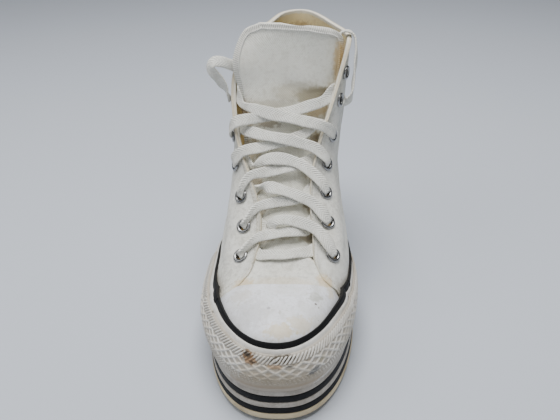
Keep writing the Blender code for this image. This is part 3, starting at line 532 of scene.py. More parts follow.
def foxing_face(side, station, h):
    """Points of the foxing's outer face, h from 0 at its foot to 1 at its top edge."""
    station, h = floats(station, h)
    around = around_of(side, station)
    bulge = table(BULGE_ROWS, around, COLUMN[side])
    top = share_at_distance(long_ribs(side, station), foxing_share(side, station), -FOXING_TUCK)
    point, way = wall(side, station, top)
    lip = point + way * (cover(station) + GAP + FOXING_LIP + fuller(side, point))[..., None]
    a = on_deck(outline(side, around, FOXING_FOOT))
    b = leaning(a, outward(side, around), bulge, (lip[..., 2] - a[..., 2]) / 2)
    h = h[..., None]
    return (1 - h) ** 2 * a + 2 * h * (1 - h) * b + h * h * lip


def ways_of(side, points):
    """The way out of a grid of points whose rows run along the shoe and whose columns run up."""
    run, rise = np.gradient(points, axis=0), np.gradient(points, axis=1)
    ways = unit(side * np.cross(run, rise))
    ends = np.abs(points[:, 0, 0] - TOE_SHIFT) < 1e-6
    ways[ends, :, 0] = 0.0
    return unit(ways)


def stations_between(first, last, step):
    """Even stations with the patch's border, at 1, among them."""
    count = max(2, int(round((last - first) / step)) + 1)
    made = np.linspace(first, last, count)
    if first < 1 < last:
        made[np.argmin(np.abs(made - 1))] = 1.0
    return made


# Making meshes


def metres(points):
    """Places on the shoe in metres, in the part's own frame."""
    return (np.asarray(points, float) - (*MIDDLE, FLOOR)) * MM


def size(name):
    """A size that a user can change, in millimetres."""
    return getattr(bpy.context.scene.sneaker_sizes, name) / MM


def run_length(points, axis):
    """How far along an axis of a grid each point lies from its first, in millimetres."""
    steps = np.linalg.norm(np.diff(points, axis=axis), axis=-1)
    start = np.zeros_like(np.take(steps, [0], axis))
    return np.concatenate([start, np.cumsum(steps, axis)], axis)


def grid(points, slot=0, cut=False, uv=None, **values):
    """Points in rows and columns, with the cloth's own places in millimetres and any other values."""
    if uv is None:
        uv = stack(run_length(points, 0), run_length(points, 1))
    return {"points": points, "uv": uv, "slot": slot, "cut": cut, "values": values}


def new_object(name, data):
    made = bpy.data.objects.new(name, data)
    bpy.context.scene.collection.objects.link(made)
    return made


def finish_mesh(name, bm, finishes, sharp_deg=50.0):
    """Turns a bmesh into a named object with its materials."""
    mesh = bpy.data.meshes.new(name)
    bm.to_mesh(mesh)
    bm.free()
    mesh.shade_smooth()
    mesh.set_sharp_from_angle(angle=math.radians(sharp_deg))
    for finish in finishes:
        mesh.materials.append(finish)
    return new_object(name, mesh)


def build(name, grids, finishes, sharp_deg=50.0):
    """One closed mesh from grids whose borders meet."""
    shapes = [each["points"].shape[:2] for each in grids]

    def joined(values):
        """A value for every vertex, from each grid's values or its one value."""
        return np.concatenate([np.broadcast_to(each, shape).ravel() for each, shape in zip(values, shapes)])

    bm = bmesh.new()
    for rows, columns in shapes:
        bmesh.ops.create_grid(bm, x_segments=columns - 1, y_segments=rows - 1, size=1.0)
    mesh = bpy.data.meshes.new("grids")
    bm.to_mesh(mesh)
    bm.free()
    points = np.concatenate([metres(each["points"]).reshape(-1, 3) for each in grids])
    mesh.vertices.foreach_set("co", points.ravel())
    corners = np.empty(len(mesh.loops), int)
    mesh.loops.foreach_get("vertex_index", corners)
    places = np.concatenate([each["uv"].reshape(-1, 2) for each in grids])
    mesh.uv_layers.new(name="cloth").uv.foreach_set("vector", places[corners].ravel())
    counts = [(rows - 1) * (columns - 1) for rows, columns in shapes]
    slots = np.repeat([each["slot"] for each in grids], counts)
    mesh.polygons.foreach_set("material_index", slots)
    for key in sorted({key for each in grids for key in each["values"]}):
        values = joined([each["values"].get(key, 0.0) for each in grids])
        mesh.attributes.new(key, "FLOAT", "POINT").data.foreach_set("value", values)
    cut = joined([each["cut"] for each in grids])[corners].reshape(-1, 4).any(1)
    bm = bmesh.new()
    bm.from_mesh(mesh)
    bpy.data.meshes.remove(mesh)
    bm.faces.ensure_lookup_table()
    bmesh.ops.delete(bm, geom=[bm.faces[i] for i in np.flatnonzero(cut)], context="FACES")
    bmesh.ops.remove_doubles(bm, verts=bm.verts, dist=2e-6)
    bmesh.ops.dissolve_degenerate(bm, edges=bm.edges, dist=1e-7)
    bmesh.ops.recalc_face_normals(bm, faces=bm.faces)
    return finish_mesh(name, bm, finishes, sharp_deg)


def round_over(away, radius):
    """How full a sheet's thickness is at a distance from its edge, so that the edge is round."""
    return np.sqrt(np.clip(1 - (1 - np.clip(away / radius, 0, 1)) ** 2, 0, 1))


def two_faces(points, ways, front, back, full, middle=None):
    """A sheet's outer and inner face, which meet between the two heights where full is 0."""
    middle = (front + back) / 2 if middle is None else middle
    return [points + ways * (middle + (high - middle) * full)[..., None] for high in (front, back)]


def put(made, node=None):
    """Makes a piece ride on the shoe, in place of a node of the part or on its own."""
    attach(made, "root")
    if node:
        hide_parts(node)


SINES = 5


def waves(points, seed, size):
    """Soft unevenness between -1 and 1, from a few sines whose ways and lengths follow the seed."""
    draw = np.random.default_rng(seed)
    total = np.zeros(points.shape[:-1])
    for _ in range(SINES):
        way = unit(draw.normal(size=3)) * math.tau / (size * draw.uniform(0.7, 1.6))
        total += np.sin(points @ way + draw.uniform(0, math.tau))
    return total / SINES


# Materials


class Field:
    """A number that varies over a surface. Arithmetic on it adds Math nodes."""

    def __init__(self, finish, socket):
        self.finish, self.socket = finish, socket

    def with_math(self, operation, *others):
        return self.finish.math(operation, self, *others)

    def __add__(self, other):
        return self.with_math("ADD", other)

    def __sub__(self, other):
        return self.with_math("SUBTRACT", other)

    def __mul__(self, other):
        return self.with_math("MULTIPLY", other)

    def __abs__(self):
        return self.with_math("ABSOLUTE")

    __radd__ = __add__
    __rmul__ = __mul__


class Finish:
    """A material, with short ways to add nodes to it."""

    def __init__(self, name, **constants):
        self.material = bpy.data.materials.new(name)
        self.material.use_nodes = True
        self.tree = self.material.node_tree
        self.shader = self.tree.nodes["Principled BSDF"]
        for socket, value in constants.items():
            self.shader.inputs[socket.replace("_", " ")].default_value = value
        self.object_place = self.node("ShaderNodeTexCoord").outputs["Object"]

    def node(self, kind, inputs=None, **settings):
        """Adds a node: its settings first, then the values or links of its sockets."""
        made = self.tree.nodes.new(kind)
        for key, value in settings.items():
            setattr(made, key, value)
        for key, value in (inputs or {}).items():
            self.feed(made.inputs[key], value)
        return made

    def feed(self, socket, value):
        value = value.socket if isinstance(value, Field) else value
        if isinstance(value, bpy.types.NodeSocket):
            self.tree.links.new(value, socket)
        else:
            socket.default_value = value

    def math(self, operation, *values):
        made = self.node("ShaderNodeMath", dict(enumerate(values)), operation=operation)
        return Field(self, made.outputs[0])

    def sine(self, field):
        return self.math("SINE", field)

    def step(self, field, low, high):
        """0 below low, 1 above high, soft between; the other way round where low is the larger."""
        inputs = {"Value": field, "From Min": low, "From Max": high}
        made = self.node("ShaderNodeMapRange", inputs, interpolation_type="SMOOTHSTEP")
        return Field(self, made.outputs[0])

    def noise(self, size, detail=3.0, roughness=0.5, place=None):
        """Uneven values between 0 and 1, with lumps of a size in millimetres."""
        inputs = {
            "Vector": place or self.object_place,
            "Scale": (1.0 if place else 1 / MM) / size,
            "Detail": detail,
            "Roughness": roughness,
        }
        return Field(self, self.node("ShaderNodeTexNoise", inputs).outputs["Fac"])

    def specks(self, size):
        """Distance to scattered points, in their own spacing."""
        inputs = {"Vector": self.object_place, "Scale": 1 / MM / size}
        return Field(self, self.node("ShaderNodeTexVoronoi", inputs).outputs["Distance"])

    def mix(self, factor, one, other):
        """A colour between two."""
        inputs = {0: factor, 6: self.colour(one), 7: self.colour(other)}
        return self.node("ShaderNodeMix", inputs, data_type="RGBA").outputs[2]

    @staticmethod
    def colour(value):
        return (*value, 1.0) if isinstance(value, tuple) and len(value) == 3 else value

    def value_of(self, name):
        """A value that the mesh carries."""
        made = self.node("ShaderNodeAttribute", attribute_name=name)
        return Field(self, made.outputs["Fac"])

    def cloth_place(self):
        """The cloth's own place in millimetres: along it and across it, and both as a vector."""
        vector = self.node("ShaderNodeUVMap", uv_map="cloth").outputs["UV"]
        parts = self.node("ShaderNodeSeparateXYZ", {0: vector})
        return Field(self, parts.outputs[0]), Field(self, parts.outputs[1]), vector

    def vector_math(self, operation, *values):
        return self.node("ShaderNodeVectorMath", dict(enumerate(values)), operation=operation).outputs

    def spot(self, at, size, ragged):
        """1 inside a spot at a place on the shoe, 0 outside its three half sizes, with a ragged edge."""
        centre = self.vector_math("SUBTRACT", self.object_place, tuple(metres(at)))[0]
        scaled = self.vector_math("MULTIPLY", centre, tuple(1 / (MM * each) for each in size))[0]
        far = Field(self, self.vector_math("LENGTH", scaled)["Value"])
        return self.step(far + (self.noise(3.0, 4.0, 0.65) - 0.5) * (4 * ragged), 1.1, 0.55)

    def wandering(self, field, low, high, size, depth, detail=3.0):
        """A soft step whose edge wanders to and fro by up to half a depth, in lumps of a size."""
        return self.step(field + (self.noise(size, detail) - 0.5) * depth, low, high)

    def bump(self, height, distance, strength=1.0, under=None):
        """A normal from a height between 0 and 1 and its full depth in millimetres."""
        inputs = {"Height": height, "Distance": distance * MM, "Strength": strength}
        if under is not None:
            inputs["Normal"] = under
        return self.node("ShaderNodeBump", inputs).outputs[0]

    def finish(self, colour, roughness, normal=None):
        for socket, value in (("Base Color", colour), ("Roughness", roughness), ("Normal", normal)):
            if value is not None:
                self.feed(self.shader.inputs[socket], value)
        return self.material

    def grainy(self, colour, dark, strength=1.0, sizes=(3.2, 0.9)):
        """Mottles a colour with darker blotches and finer grains."""
        for size_of, share in zip(sizes, (0.75, 0.55)):
            blotches = self.step(self.noise(size_of, 3.0, 0.6), 0.45, 0.68)
            colour = self.mix(blotches * (share * strength), colour, dark)
        return colour

    def paint(self, colour, marks):
        """Lays spots over a colour: rows of place, half sizes, colour, strength, raggedness."""
        for at, size, other, strength, ragged in marks:
            colour = self.mix(self.spot(at, size, ragged) * strength, colour, other)
        return colour


YELLOW, GREY, GRIME, SOOT = (0.72, 0.53, 0.26), (0.30, 0.30, 0.30), (0.36, 0.30, 0.22), (0.05, 0.04, 0.03)


def shade(colour, share):
    """A darker shade of a colour."""
    return tuple(share * each for each in colour)


def canvas_finish(colours):
    """Plain-woven cotton, yellowed along its edges and dirty near the rubber."""
    f = Finish("canvas", Specular_IOR_Level=0.25, Sheen_Weight=0.08)
    along, across, place = f.cloth_place()
    pitch = math.tau / 1.1
    weave = f.sine(along * pitch) * f.sine(across * pitch)
    slub = f.noise(1.3, 3.0, 0.6, place)
    mottle = f.noise(14.0, 4.0, 0.6)
    patch = f.noise(38.0, 3.0, 0.5)
    colour = f.mix(f.step(mottle, 0.4, 0.75) * 0.45, tuple(colours.canvas), (0.76, 0.745, 0.68))
    colour = f.mix(f.step(patch, 0.5, 0.75) * 0.4, colour, (0.79, 0.745, 0.61))
    colour = f.mix(f.step(f.noise(8.0, 4.0, 0.6), 0.47, 0.66) * 0.5, colour, (0.72, 0.70, 0.61))
    colour = f.grainy(colour, (0.62, 0.605, 0.54), f.step(patch, 0.3, 0.7) * 0.8 + 0.35)
    colour = f.mix(f.wandering(f.specks(5.5), 0.08, 0.03, 20.0, 0.1) * 0.6, colour, (0.36, 0.33, 0.27))
    throat = f.value_of("throat")
    colour = f.mix(f.wandering(throat, 3.6, 2.6, 4.0, 1.2) * 0.6, colour, (0.90, 0.85, 0.71))
    # Painted shade: a darker band along the stitched groove at the outer border of the throat's hem
    groove = f.step(throat, 3.3, 3.9) * f.step(throat, 5.6, 4.6)
    colour = f.mix(groove * 0.5, colour, (0.46, 0.41, 0.31))
    colour = f.mix(f.wandering(throat, 0.9, 0.2, 3.0, 1.4) * 0.4, colour, (0.66, 0.54, 0.34))
    edge = f.wandering(f.value_of("edge"), 2.2, 0.2, 5.0, 2.4)
    colour = f.mix(edge * 0.35, colour, (0.66, 0.56, 0.36))
    low = f.wandering(f.value_of("above_rubber"), 5.0, -0.5, 7.0, 7.0, 4.0)
    colour = f.mix(low * 0.45, colour, (0.42, 0.36, 0.27))
    colour = f.mix(f.step(weave, -0.2, -1.0) * 0.28, colour, (0.44, 0.42, 0.37))
    colour = f.paint(colour, CANVAS_MARKS)
    fine = f.bump(weave * 0.5 + slub * 0.9, 0.26, 0.9)
    normal = f.bump(f.noise(9.0, 5.0, 0.6), 1.5, 0.7, fine)
    return f.finish(colour, 0.88 + (slub - 0.5) * 0.1, normal)


# Columns: place on the shoe, half sizes, colour, strength, raggedness
CANVAS_MARKS = (
    ((-21, 56, 58), (8, 6, 6), YELLOW, 0.55, 0.3),
    ((30, 61, 57), (7, 7, 6), YELLOW, 0.6, 0.3),
    ((4, 55, 62), (26, 4.5, 6), YELLOW, 0.22, 0.3),
    ((-34, 68, 60), (2.5, 2.5, 2.5), GREY, 0.35, 0.4),
    ((-42, 90, 48), (9, 16, 8), (0.55, 0.50, 0.40), 0.3, 0.4),
)


def plain_cloth(name, tint, worn, pitch=1.0, twill=False, marks=(), fuzz=0.0):
    """A woven cloth in one tint, rubbed towards another."""
    f = Finish(name, Specular_IOR_Level=0.2, Sheen_Weight=0.1)
    along, across, place = f.cloth_place()
    turn = math.tau / pitch
    if twill:
        weave = f.sine((along + across) * turn)
    else:
        weave = f.sine(along * turn) * f.sine(across * turn)
    slub = f.noise(1.6, 3.0, 0.6, place)
    colour = f.mix(f.step(f.noise(26.0, 4.0, 0.55), 0.45, 0.8) * 0.6, tint, worn)
    colour = f.grainy(colour, shade(worn, 0.85), 0.6 + fuzz * 0.6)
    colour = f.mix(f.step(weave, 0.2, -1.0) * 0.2, colour, shade(worn, 0.7))
    colour = f.paint(colour, marks)
    if fuzz:
        rim = f.wandering(f.value_of("edge"), 3.6, 2.0, 2.5, 2.5)
        colour = f.mix(rim * 0.85, colour, (0.94, 0.91, 0.81))
    fine = f.bump(weave * 0.5 + slub * (1 + fuzz), 0.22 * (1 + fuzz), 0.9)
    normal = f.bump(f.noise(12.0, 5.0, 0.55), 1.0, 0.5, fine)
    return f.finish(colour, 0.92, normal)


# Columns: place on the shoe, half sizes, colour, strength, raggedness
# On the tongue these are mostly painted shade: in the throat's hollows beside the laces, and under and
# between their strands. The two by its inner edge are brown stains with painted shade.
TONGUE_SHADE_AND_STAINS = (
    ((40, 164, 168), (6.5, 12, 19), (0.64, 0.47, 0.22), 0.8, 0.25),
    ((36, 153, 150), (8, 10, 9), (0.46, 0.36, 0.21), 0.7, 0.3),
    ((22, 152, 150), (20, 8, 7), (0.24, 0.20, 0.12), 0.9, 0.2),
    ((12, 150, 153), (26, 9, 8), (0.52, 0.47, 0.34), 0.6, 0.25),
    ((-6, 147, 145), (18, 8, 4), (0.56, 0.52, 0.42), 0.5, 0.3),
    ((24, 148, 141), (15, 9, 7), (0.50, 0.38, 0.20), 0.8, 0.3),
    ((-26, 146, 138), (8, 9, 12), (0.34, 0.26, 0.16), 0.85, 0.3),
    ((-10, 141, 133), (9, 8, 3), (0.30, 0.24, 0.16), 0.7, 0.5),
    ((25, 136, 122), (9, 9, 9), (0.46, 0.36, 0.21), 0.8, 0.35),
    ((-21, 133, 118), (8, 9, 10), (0.42, 0.34, 0.21), 0.75, 0.35),
    ((23, 125, 104), (8, 9, 9), (0.46, 0.37, 0.23), 0.75, 0.35),
    ((-19, 118, 98), (8, 9, 8), (0.42, 0.34, 0.22), 0.75, 0.35),
    ((21, 110, 88), (8, 9, 8), (0.44, 0.35, 0.22), 0.75, 0.35),
    ((-17, 106, 85), (8, 9, 7), (0.44, 0.36, 0.24), 0.7, 0.35),
    ((19, 95, 72), (9, 9, 8), (0.44, 0.36, 0.24), 0.7, 0.35),
    ((-13, 93, 72), (9, 9, 7), (0.42, 0.35, 0.24), 0.7, 0.35),
    ((2, 92, 74), (16, 8, 3.4), (0.50, 0.44, 0.33), 0.6, 0.4),
    ((3, 126, 110), (14, 8, 3), (0.60, 0.54, 0.42), 0.5, 0.4),
)
LINING_MARKS = (
    ((0, 258, 178), (30, 14, 4), (0.98, 0.85, 0.52), 0.7, 0.6),
    ((10, 262, 168), (26, 14, 5), (0.46, 0.31, 0.15), 0.5, 0.6),
)


def lace_finish(tint):
    """A flat braid: slanting cords that meet along the middle."""
    f = Finish("lace_cloth", Specular_IOR_Level=0.25, Sheen_Weight=0.1)
    along, across, place = f.cloth_place()
    slant = f.sine((along + abs(across) * 0.9) * (math.tau / 1.9))
    fine = f.sine((along - abs(across) * 1.4) * (math.tau / 0.8))
    braid = slant * 0.32 + fine * 0.2 + f.noise(0.7, 2.0, 0.6, place) * 0.8
    dirty = f.step(f.noise(11.0, 4.0, 0.6), 0.45, 0.8)
    colour = f.mix(dirty * 0.25, tint, (0.86, 0.83, 0.72))
    colour = f.grainy(colour, (0.74, 0.71, 0.61), 0.5, (4.0, 1.0))
    colour = f.mix(f.step(slant, -0.1, -1.0) * 0.1, colour, (0.55, 0.53, 0.47))
    # Painted shade: darker towards the lace's two edges, where they turn away from the light
    colour = f.mix(f.step(abs(across), 3.1, 3.9) * 0.25, colour, (0.55, 0.51, 0.42))
    return f.finish(colour, 0.9, f.bump(braid, 0.5, 1.0))


def white_rubber(name, tint, grime, marks=(), relief=False, rough=0.55, dirty=0.45):
    """Old white rubber: dull, chalky, scuffed, with dirt in its hollows."""
    f = Finish(name, Specular_IOR_Level=0.35)
    cloud = f.noise(17.0, 5.0, 0.6)
    fine = f.noise(2.2, 5.0, 0.7)
    colour = f.mix(f.step(cloud, 0.36, 0.72) * dirty, tint, grime)
    colour = f.mix(f.step(fine, 0.54, 0.78) * dirty * 0.8, colour, grime)
    if relief:
        hollow = f.wandering(f.value_of("relief"), 0.55, 0.05, 6.0, 0.6, 4.0)
        colour = f.mix(hollow * 0.6, colour, GRIME)
        for at, size_of, other, strength, ragged in HOLLOW_MARKS:
            colour = f.mix(f.spot(at, size_of, ragged) * hollow * strength, colour, other)
    colour = f.grainy(colour, shade(grime, 0.8), dirty, (5.0, 1.3))
    dots = f.wandering(f.specks(6.5), 0.07, 0.03, 30.0, 0.12)
    colour = f.mix(dots * 0.6, colour, (0.26, 0.23, 0.18))
    colour = f.paint(colour, marks)
    scratch = f.noise(1.1, 3.0, 0.6)
    normal = f.bump(fine * 0.6 + scratch * 0.4, 0.12, 0.6, f.bump(cloud, 0.6, 0.5))
    return f.finish(colour, rough + (fine - 0.5) * 0.25, normal)


# Marks on the relief; the third row, along its lower lip, is dirt and painted shade
RELIEF_DIRT_AND_SHADE = (
    ((4, 0, 26), (44, 18, 13), (0.40, 0.33, 0.23), 0.62, 0.25),
    ((2, 0, 38), (34, 14, 8), (0.56, 0.48, 0.35), 0.4, 0.4),
    ((2, -3, 25.5), (46, 20, 3.4), (0.36, 0.28, 0.20), 0.65, 0.4),
    ((-12.5, 5, 45), (5.4, 8, 4.4), (0.34, 0.20, 0.10), 0.9, 0.5),
    ((-13.5, 6, 47), (2.6, 6, 1.8), SOOT, 0.9, 0.5),
    ((-10.5, 4, 43.5), (1.8, 6, 1.2), SOOT, 0.7, 0.5),
    ((3.4, 1, 42.6), (4.6, 8, 2), (0.50, 0.33, 0.19), 0.85, 0.35),
    ((11, 2, 42.3), (2.4, 6, 1.2), SOOT, 0.7, 0.5),
    ((26, 7, 34), (5.2, 9, 2.4), (0.20, 0.21, 0.21), 0.75, 0.6),
    ((31, 9, 38.5), (4, 8, 2.4), (0.46, 0.41, 0.26), 0.5, 0.5),
    ((-3, -1, 36), (14, 8, 3), (0.44, 0.37, 0.27), 0.5, 0.6),
    ((-39.3, 44.1, 46.1), (1.3, 1.5, 1.1), (0.015, 0.015, 0.015), 1, 0.15),
    ((-50, 38, 36), (6, 10, 7), (0.50, 0.46, 0.37), 0.5, 0.5),
    ((46, 40, 34), (8, 14, 9), (0.52, 0.47, 0.38), 0.4, 0.5),
)
# Dirt and painted shade under the lip of the relief
FOXING_DIRT_AND_SHADE = (((2, 1, 22.6), (50, 26, 3), (0.36, 0.29, 0.21), 0.75, 0.4),)
# Dirt that lies in the hollows only
HOLLOW_MARKS = (
    ((6.5, 2, 46.5), (11, 8, 3.4), (0.05, 0.035, 0.02), 1, 0.4),
    ((-13, 5, 46.5), (7, 8, 4), (0.09, 0.05, 0.025), 0.9, 0.4),
    ((24, 6, 44), (10, 8, 3.4), (0.28, 0.22, 0.15), 0.6, 0.5),
    ((-30, 16, 46), (12, 14, 4), (0.30, 0.26, 0.20), 0.6, 0.5),
)
CAP_MARKS = (
    ((5.7, 15, 57.5), (11, 6, 5), (0.64, 0.52, 0.28), 0.6, 0.5),
    ((17, 21, 56.6), (12, 7, 5), (0.68, 0.58, 0.36), 0.5, 0.6),
    ((30, 24, 51), (9, 12, 7), (0.74, 0.72, 0.64), 0.5, 0.6),
    ((-2.6, 31.2, 60.8), (1.3, 1.3, 1.6), (0.42, 0.40, 0.42), 0.8, 0.3),
    ((4.5, 28, 60.6), (1, 2, 1.6), (0.55, 0.53, 0.48), 0.6, 0.4),
    ((25.5, 38.2, 58.2), (0.9, 0.9, 1.4), (0.12, 0.09, 0.07), 0.95, 0.2),
    ((27.5, 36.6, 57.4), (0.7, 0.7, 1.2), (0.16, 0.12, 0.09), 0.8, 0.2),
    ((25, 43, 59.5), (5.5, 4.5, 4), (0.42, 0.42, 0.35), 0.6, 0.8),
    ((-14, 30, 58), (13, 12, 6), (0.60, 0.60, 0.62), 0.45, 0.7),
    ((-20, 44, 58), (12, 6, 6), (0.64, 0.61, 0.52), 0.45, 0.7),
    ((10, 46, 60), (14, 5, 4), (0.80, 0.80, 0.79), 0.5, 0.7),
    ((34, 52, 55), (5, 5, 3), (0.70, 0.60, 0.38), 0.5, 0.5),
)


def black_rubber():
    """Black rubber tape, a little dusty and rubbed grey along its edges."""
    f = Finish("black_rubber", Specular_IOR_Level=0.22)
    fine = f.noise(1.6, 5.0, 0.7)
    dust = f.step(f.noise(9.0, 5.0, 0.65), 0.55, 0.8)
    edge = f.step(f.value_of("edge") + (fine - 0.5) * 0.9, 0.55, 0.05)
    colour = f.mix(dust * 0.3, (0.004, 0.004, 0.0045), (0.035, 0.033, 0.030))
    colour = f.mix(edge * 0.15, colour, (0.06, 0.057, 0.052))
    return f.finish(colour, 0.6 + (fine - 0.5) * 0.3, f.bump(fine, 0.12, 0.6))


def gum_rubber(tint):
    """The tread's tan rubber, dirty underneath, with a fine moulded grain."""
    f = Finish("tan_rubber", Specular_IOR_Level=0.4)
    fine = f.noise(2.0, 5.0, 0.7)
    colour = f.mix(f.step(f.noise(15.0, 5.0), 0.4, 0.75) * 0.5, tint, (0.30, 0.22, 0.13))
    parts = f.node("ShaderNodeSeparateXYZ", {0: f.object_place})
    across, along = Field(f, parts.outputs[0]), Field(f, parts.outputs[1])
    zigzag = f.math("PINGPONG", across, 3.5 * MM) + along
    tread = f.sine(zigzag * (math.tau / (4.2 * MM)))
    under = f.step(Field(f, parts.outputs[2]), 2.6 * MM, 1.6 * MM)
    colour = f.mix(f.step(tread, 0.1, -0.6) * under * 0.6, colour, (0.10, 0.08, 0.06))
    normal = f.bump(f.step(tread, -0.4, 0.4) * under, 0.7, 0.9, f.bump(fine, 0.15, 0.6))
    return f.finish(colour, 0.6 + (fine - 0.5) * 0.3, normal)


def eyelet_metal():
    """Nickel-plated brass, scratched and dulled."""
    f = Finish("eyelet_metal", Metallic=1.0)
    fine = f.noise(0.9, 4.0, 0.7)
    colour = f.mix(f.step(f.noise(3.0, 4.0), 0.5, 0.75) * 0.7, (0.34, 0.34, 0.34), (0.13, 0.12, 0.10))
    return f.finish(colour, 0.2 + (fine - 0.4) * 0.3, f.bump(fine, 0.08, 0.5))


def thread(name, tint, looped=False, marks=()):
    """Twisted sewing thread; where it is looped over an edge, its gaps are painted dark as shade."""
    f = Finish(name, Specular_IOR_Level=0.3)
    colour = f.mix(f.step(f.noise(4.0, 3.0), 0.4, 0.75) * 0.5, tint, shade(tint, 0.8))
    if looped:
        colour = f.mix(f.step(f.value_of("thread"), 0.5, 0.05) * 0.6, colour, (0.34, 0.32, 0.26))
    colour = f.paint(colour, marks)
    return f.finish(colour, 0.8, f.bump(f.noise(0.5, 2.0), 0.12, 0.6))


def studio_floor(tint):
    f = Finish("studio_floor", Specular_IOR_Level=0.15)
    colour = f.mix(f.step(f.noise(900.0, 2.0), 0.35, 0.75) * 0.25, tint, shade(tint, 0.93))
    return f.finish(colour, 0.85)


# The sole


def band(profile, stations):
    """Walls round the sole's two sides from a profile of (inset, up), lowest first."""
    walls = []
    for side, _ in SIDES:
        rows = [(outline(side, stations, inset), up) for inset, up in profile]
        walls.append(np.stack([stack(row[:, 0], row[:, 1], up + lift(row[:, 1])) for row, up in rows], 1))
    return walls


def filled_across(walls, level, count):
    """Points across the sole, between its two walls at one level of their profile."""
    shares = np.linspace(0, 1, count)[None, :, None]
    outer, inner = (each[:, None, level] for each in walls)
    return outer * (1 - shares) + inner * shares


SLAB_COLUMNS, INSOLE_COLUMNS = 29, 27


def closed_slab(name, profile, stations, finishes, floor_of=None):
    """A slab with the sole's outline, its top and its underside filled across."""
    walls = band(profile, stations)
    if floor_of is not None:
        for side_walls in walls:
            base = lift(side_walls[..., 1])
            side_walls[..., 2] = base + np.maximum(side_walls[..., 2] - base, floor_of(side_walls))
    grids = [grid(each) for each in walls]
    for level in (0, -1):
        cap = filled_across(walls, level, SLAB_COLUMNS)
        if level == 0 and floor_of is not None:
            cap[..., 2] = lift(cap[..., 1]) + floor_of(cap)
        grids.append(grid(cap))
    return build(name, grids, finishes, sharp_deg=45.0)


def flare(up):
    return FLARE * (up - FLOOR) / (DECK - FLOOR)


def sole_stations(step):
    """Stations round the sole whose spacing along it is about even."""
    fine = np.linspace(0, 3, 1501)
    points = outline(OUTER, fine)
    run = run_length(points, 0)
    made = np.interp(np.linspace(0, run[-1], int(run[-1] / step) + 1), run, fine)
    made[0], made[-1] = 0.0, 3.0
    return made


def groove_floor(points):
    """How high the outsole's underside lies: raised by the grooves' depth in them, and at FLOOR elsewhere."""
    away = np.min([np.abs(points[..., 1] - at) for at in GROOVES_AT], axis=0)
    return FLOOR + GROOVE_DEPTH * ease(GROOVE_WIDTH / 2 + 0.3, GROOVE_WIDTH / 2 - 0.3, away)


def rounded(profile, radius, steps=3):
    """A profile with its corners rounded."""
    points = [np.array(p, float) for p in profile]
    made = [points[0]]
    for before, corner, after in zip(points, points[1:], points[2:]):
        reach = min(radius, np.linalg.norm(corner - before) / 2, np.linalg.norm(after - corner) / 2)
        start = corner + unit(before - corner) * reach
        end = corner + unit(after - corner) * reach
        for i in range(steps + 1):
            t = i / steps
            made.append((1 - t) ** 2 * start + 2 * t * (1 - t) * corner + t * t * end)
    return [tuple(p) for p in (*made, points[-1])]


SOLE_STEP, INSOLE_STEP = 1.0, 2.4
TREAD_RIM, MIDSOLE_RIM = 6.0, 8.0  # how far in the walls run before the slab is filled across
BELLY_AT, BELLY = 7.0, 0.15  # the white band between the two stripes swells by this much


def make_sole(finishes):
    stations = sole_stations(SOLE_STEP)
    cut_in, cut_up = TREAD_EDGE
    edge = FLOOR + cut_up
    low = [
        (TREAD_RIM, FLOOR), (cut_in, FLOOR), (flare(edge), edge),
        (flare(OUTSOLE_TOP), OUTSOLE_TOP), (TREAD_RIM, OUTSOLE_TOP),
    ]
    tread = closed_slab("gum_tread", rounded(low, 0.5), stations, [finishes["gum"]], groove_floor)
    put(tread, "outsole")
    (low_a, low_b), (high_a, high_b) = LOWER_STRIPE, UPPER_STRIPE
    deep = STRIPE_DEPTH + GAP
    profile = [
        (MIDSOLE_RIM, OUTSOLE_TOP + GAP),
        (deep + flare(low_a), OUTSOLE_TOP + GAP),
        (deep + flare(low_b), low_b + GAP),
        (flare(low_b + GAP), low_b + GAP),
        (flare(BELLY_AT) - BELLY, BELLY_AT),
        (flare(high_a - GAP), high_a - GAP),
        (deep + flare(high_a), high_a - GAP),
        (deep + flare(high_b), high_b + GAP),
        (flare(high_b + GAP), high_b + GAP),
        (FLARE, DECK),
        (MIDSOLE_RIM, DECK),
    ]
    middle = closed_slab("white_midsole", rounded(profile, 0.3, 2), stations, [finishes["midsole"]])
    put(middle, "midsole")
    make_stripe("lower", *LOWER_STRIPE, stations, finishes)
    make_stripe("upper", *UPPER_STRIPE, stations, finishes)


def make_stripe(which, bottom, top, stations, finishes):
    """A black band round the platform, in a groove of its own, that wavers a little."""
    corners = [
        (STRIPE_DEPTH + flare(bottom), bottom), (flare(bottom), bottom), (flare(top), top),
        (STRIPE_DEPTH + flare(top), top), (STRIPE_DEPTH + flare(bottom), bottom),
    ]
    grids = []
    for side_walls in band(rounded(corners, 0.45), stations):
        up = side_walls[..., 2] - lift(side_walls[..., 1])
        side_walls[..., 2] += 0.12 * waves(side_walls, 5, 30.0)
        grids.append(grid(side_walls, edge=np.minimum(up - bottom, top - up)))
    put(build(f"{which}_black_stripe", grids, [finishes["black"]]), f"{which}_stripe")


# Where the foot has pressed the insole in. Columns: along, how far that reaches, how deep
TRODDEN = ((225, 32, 1.3), (90, 34, 1.04))


def make_insole(finishes):
    bottom, top = DECK + GAP, DECK + GAP + INSOLE_THICK
    inset = INSOLE_INSET
    profile = [(inset + 5, bottom), (inset, bottom), (inset, top - 0.8), (inset + 0.8, top), (inset + 8, top)]
    walls = band(rounded(profile, 0.6), sole_stations(INSOLE_STEP))
    grids = [grid(each) for each in walls]
    shares = np.linspace(0, 1, INSOLE_COLUMNS)
    hollow = ease(0.0, 0.5, shares) * ease(1.0, 0.5, shares)
    for level in (0, -1):
        cap = filled_across(walls, level, INSOLE_COLUMNS)
        if level == -1:
            cap[..., 2] -= hollow * sum(deep * hump(cap[..., 1], at, reach) for at, reach, deep in TRODDEN)
        grids.append(grid(cap, uv=cap[..., :2].copy()))
    put(build("cloth_insole", grids, [finishes["insole"]]), "insole")


# Rubber round the upper


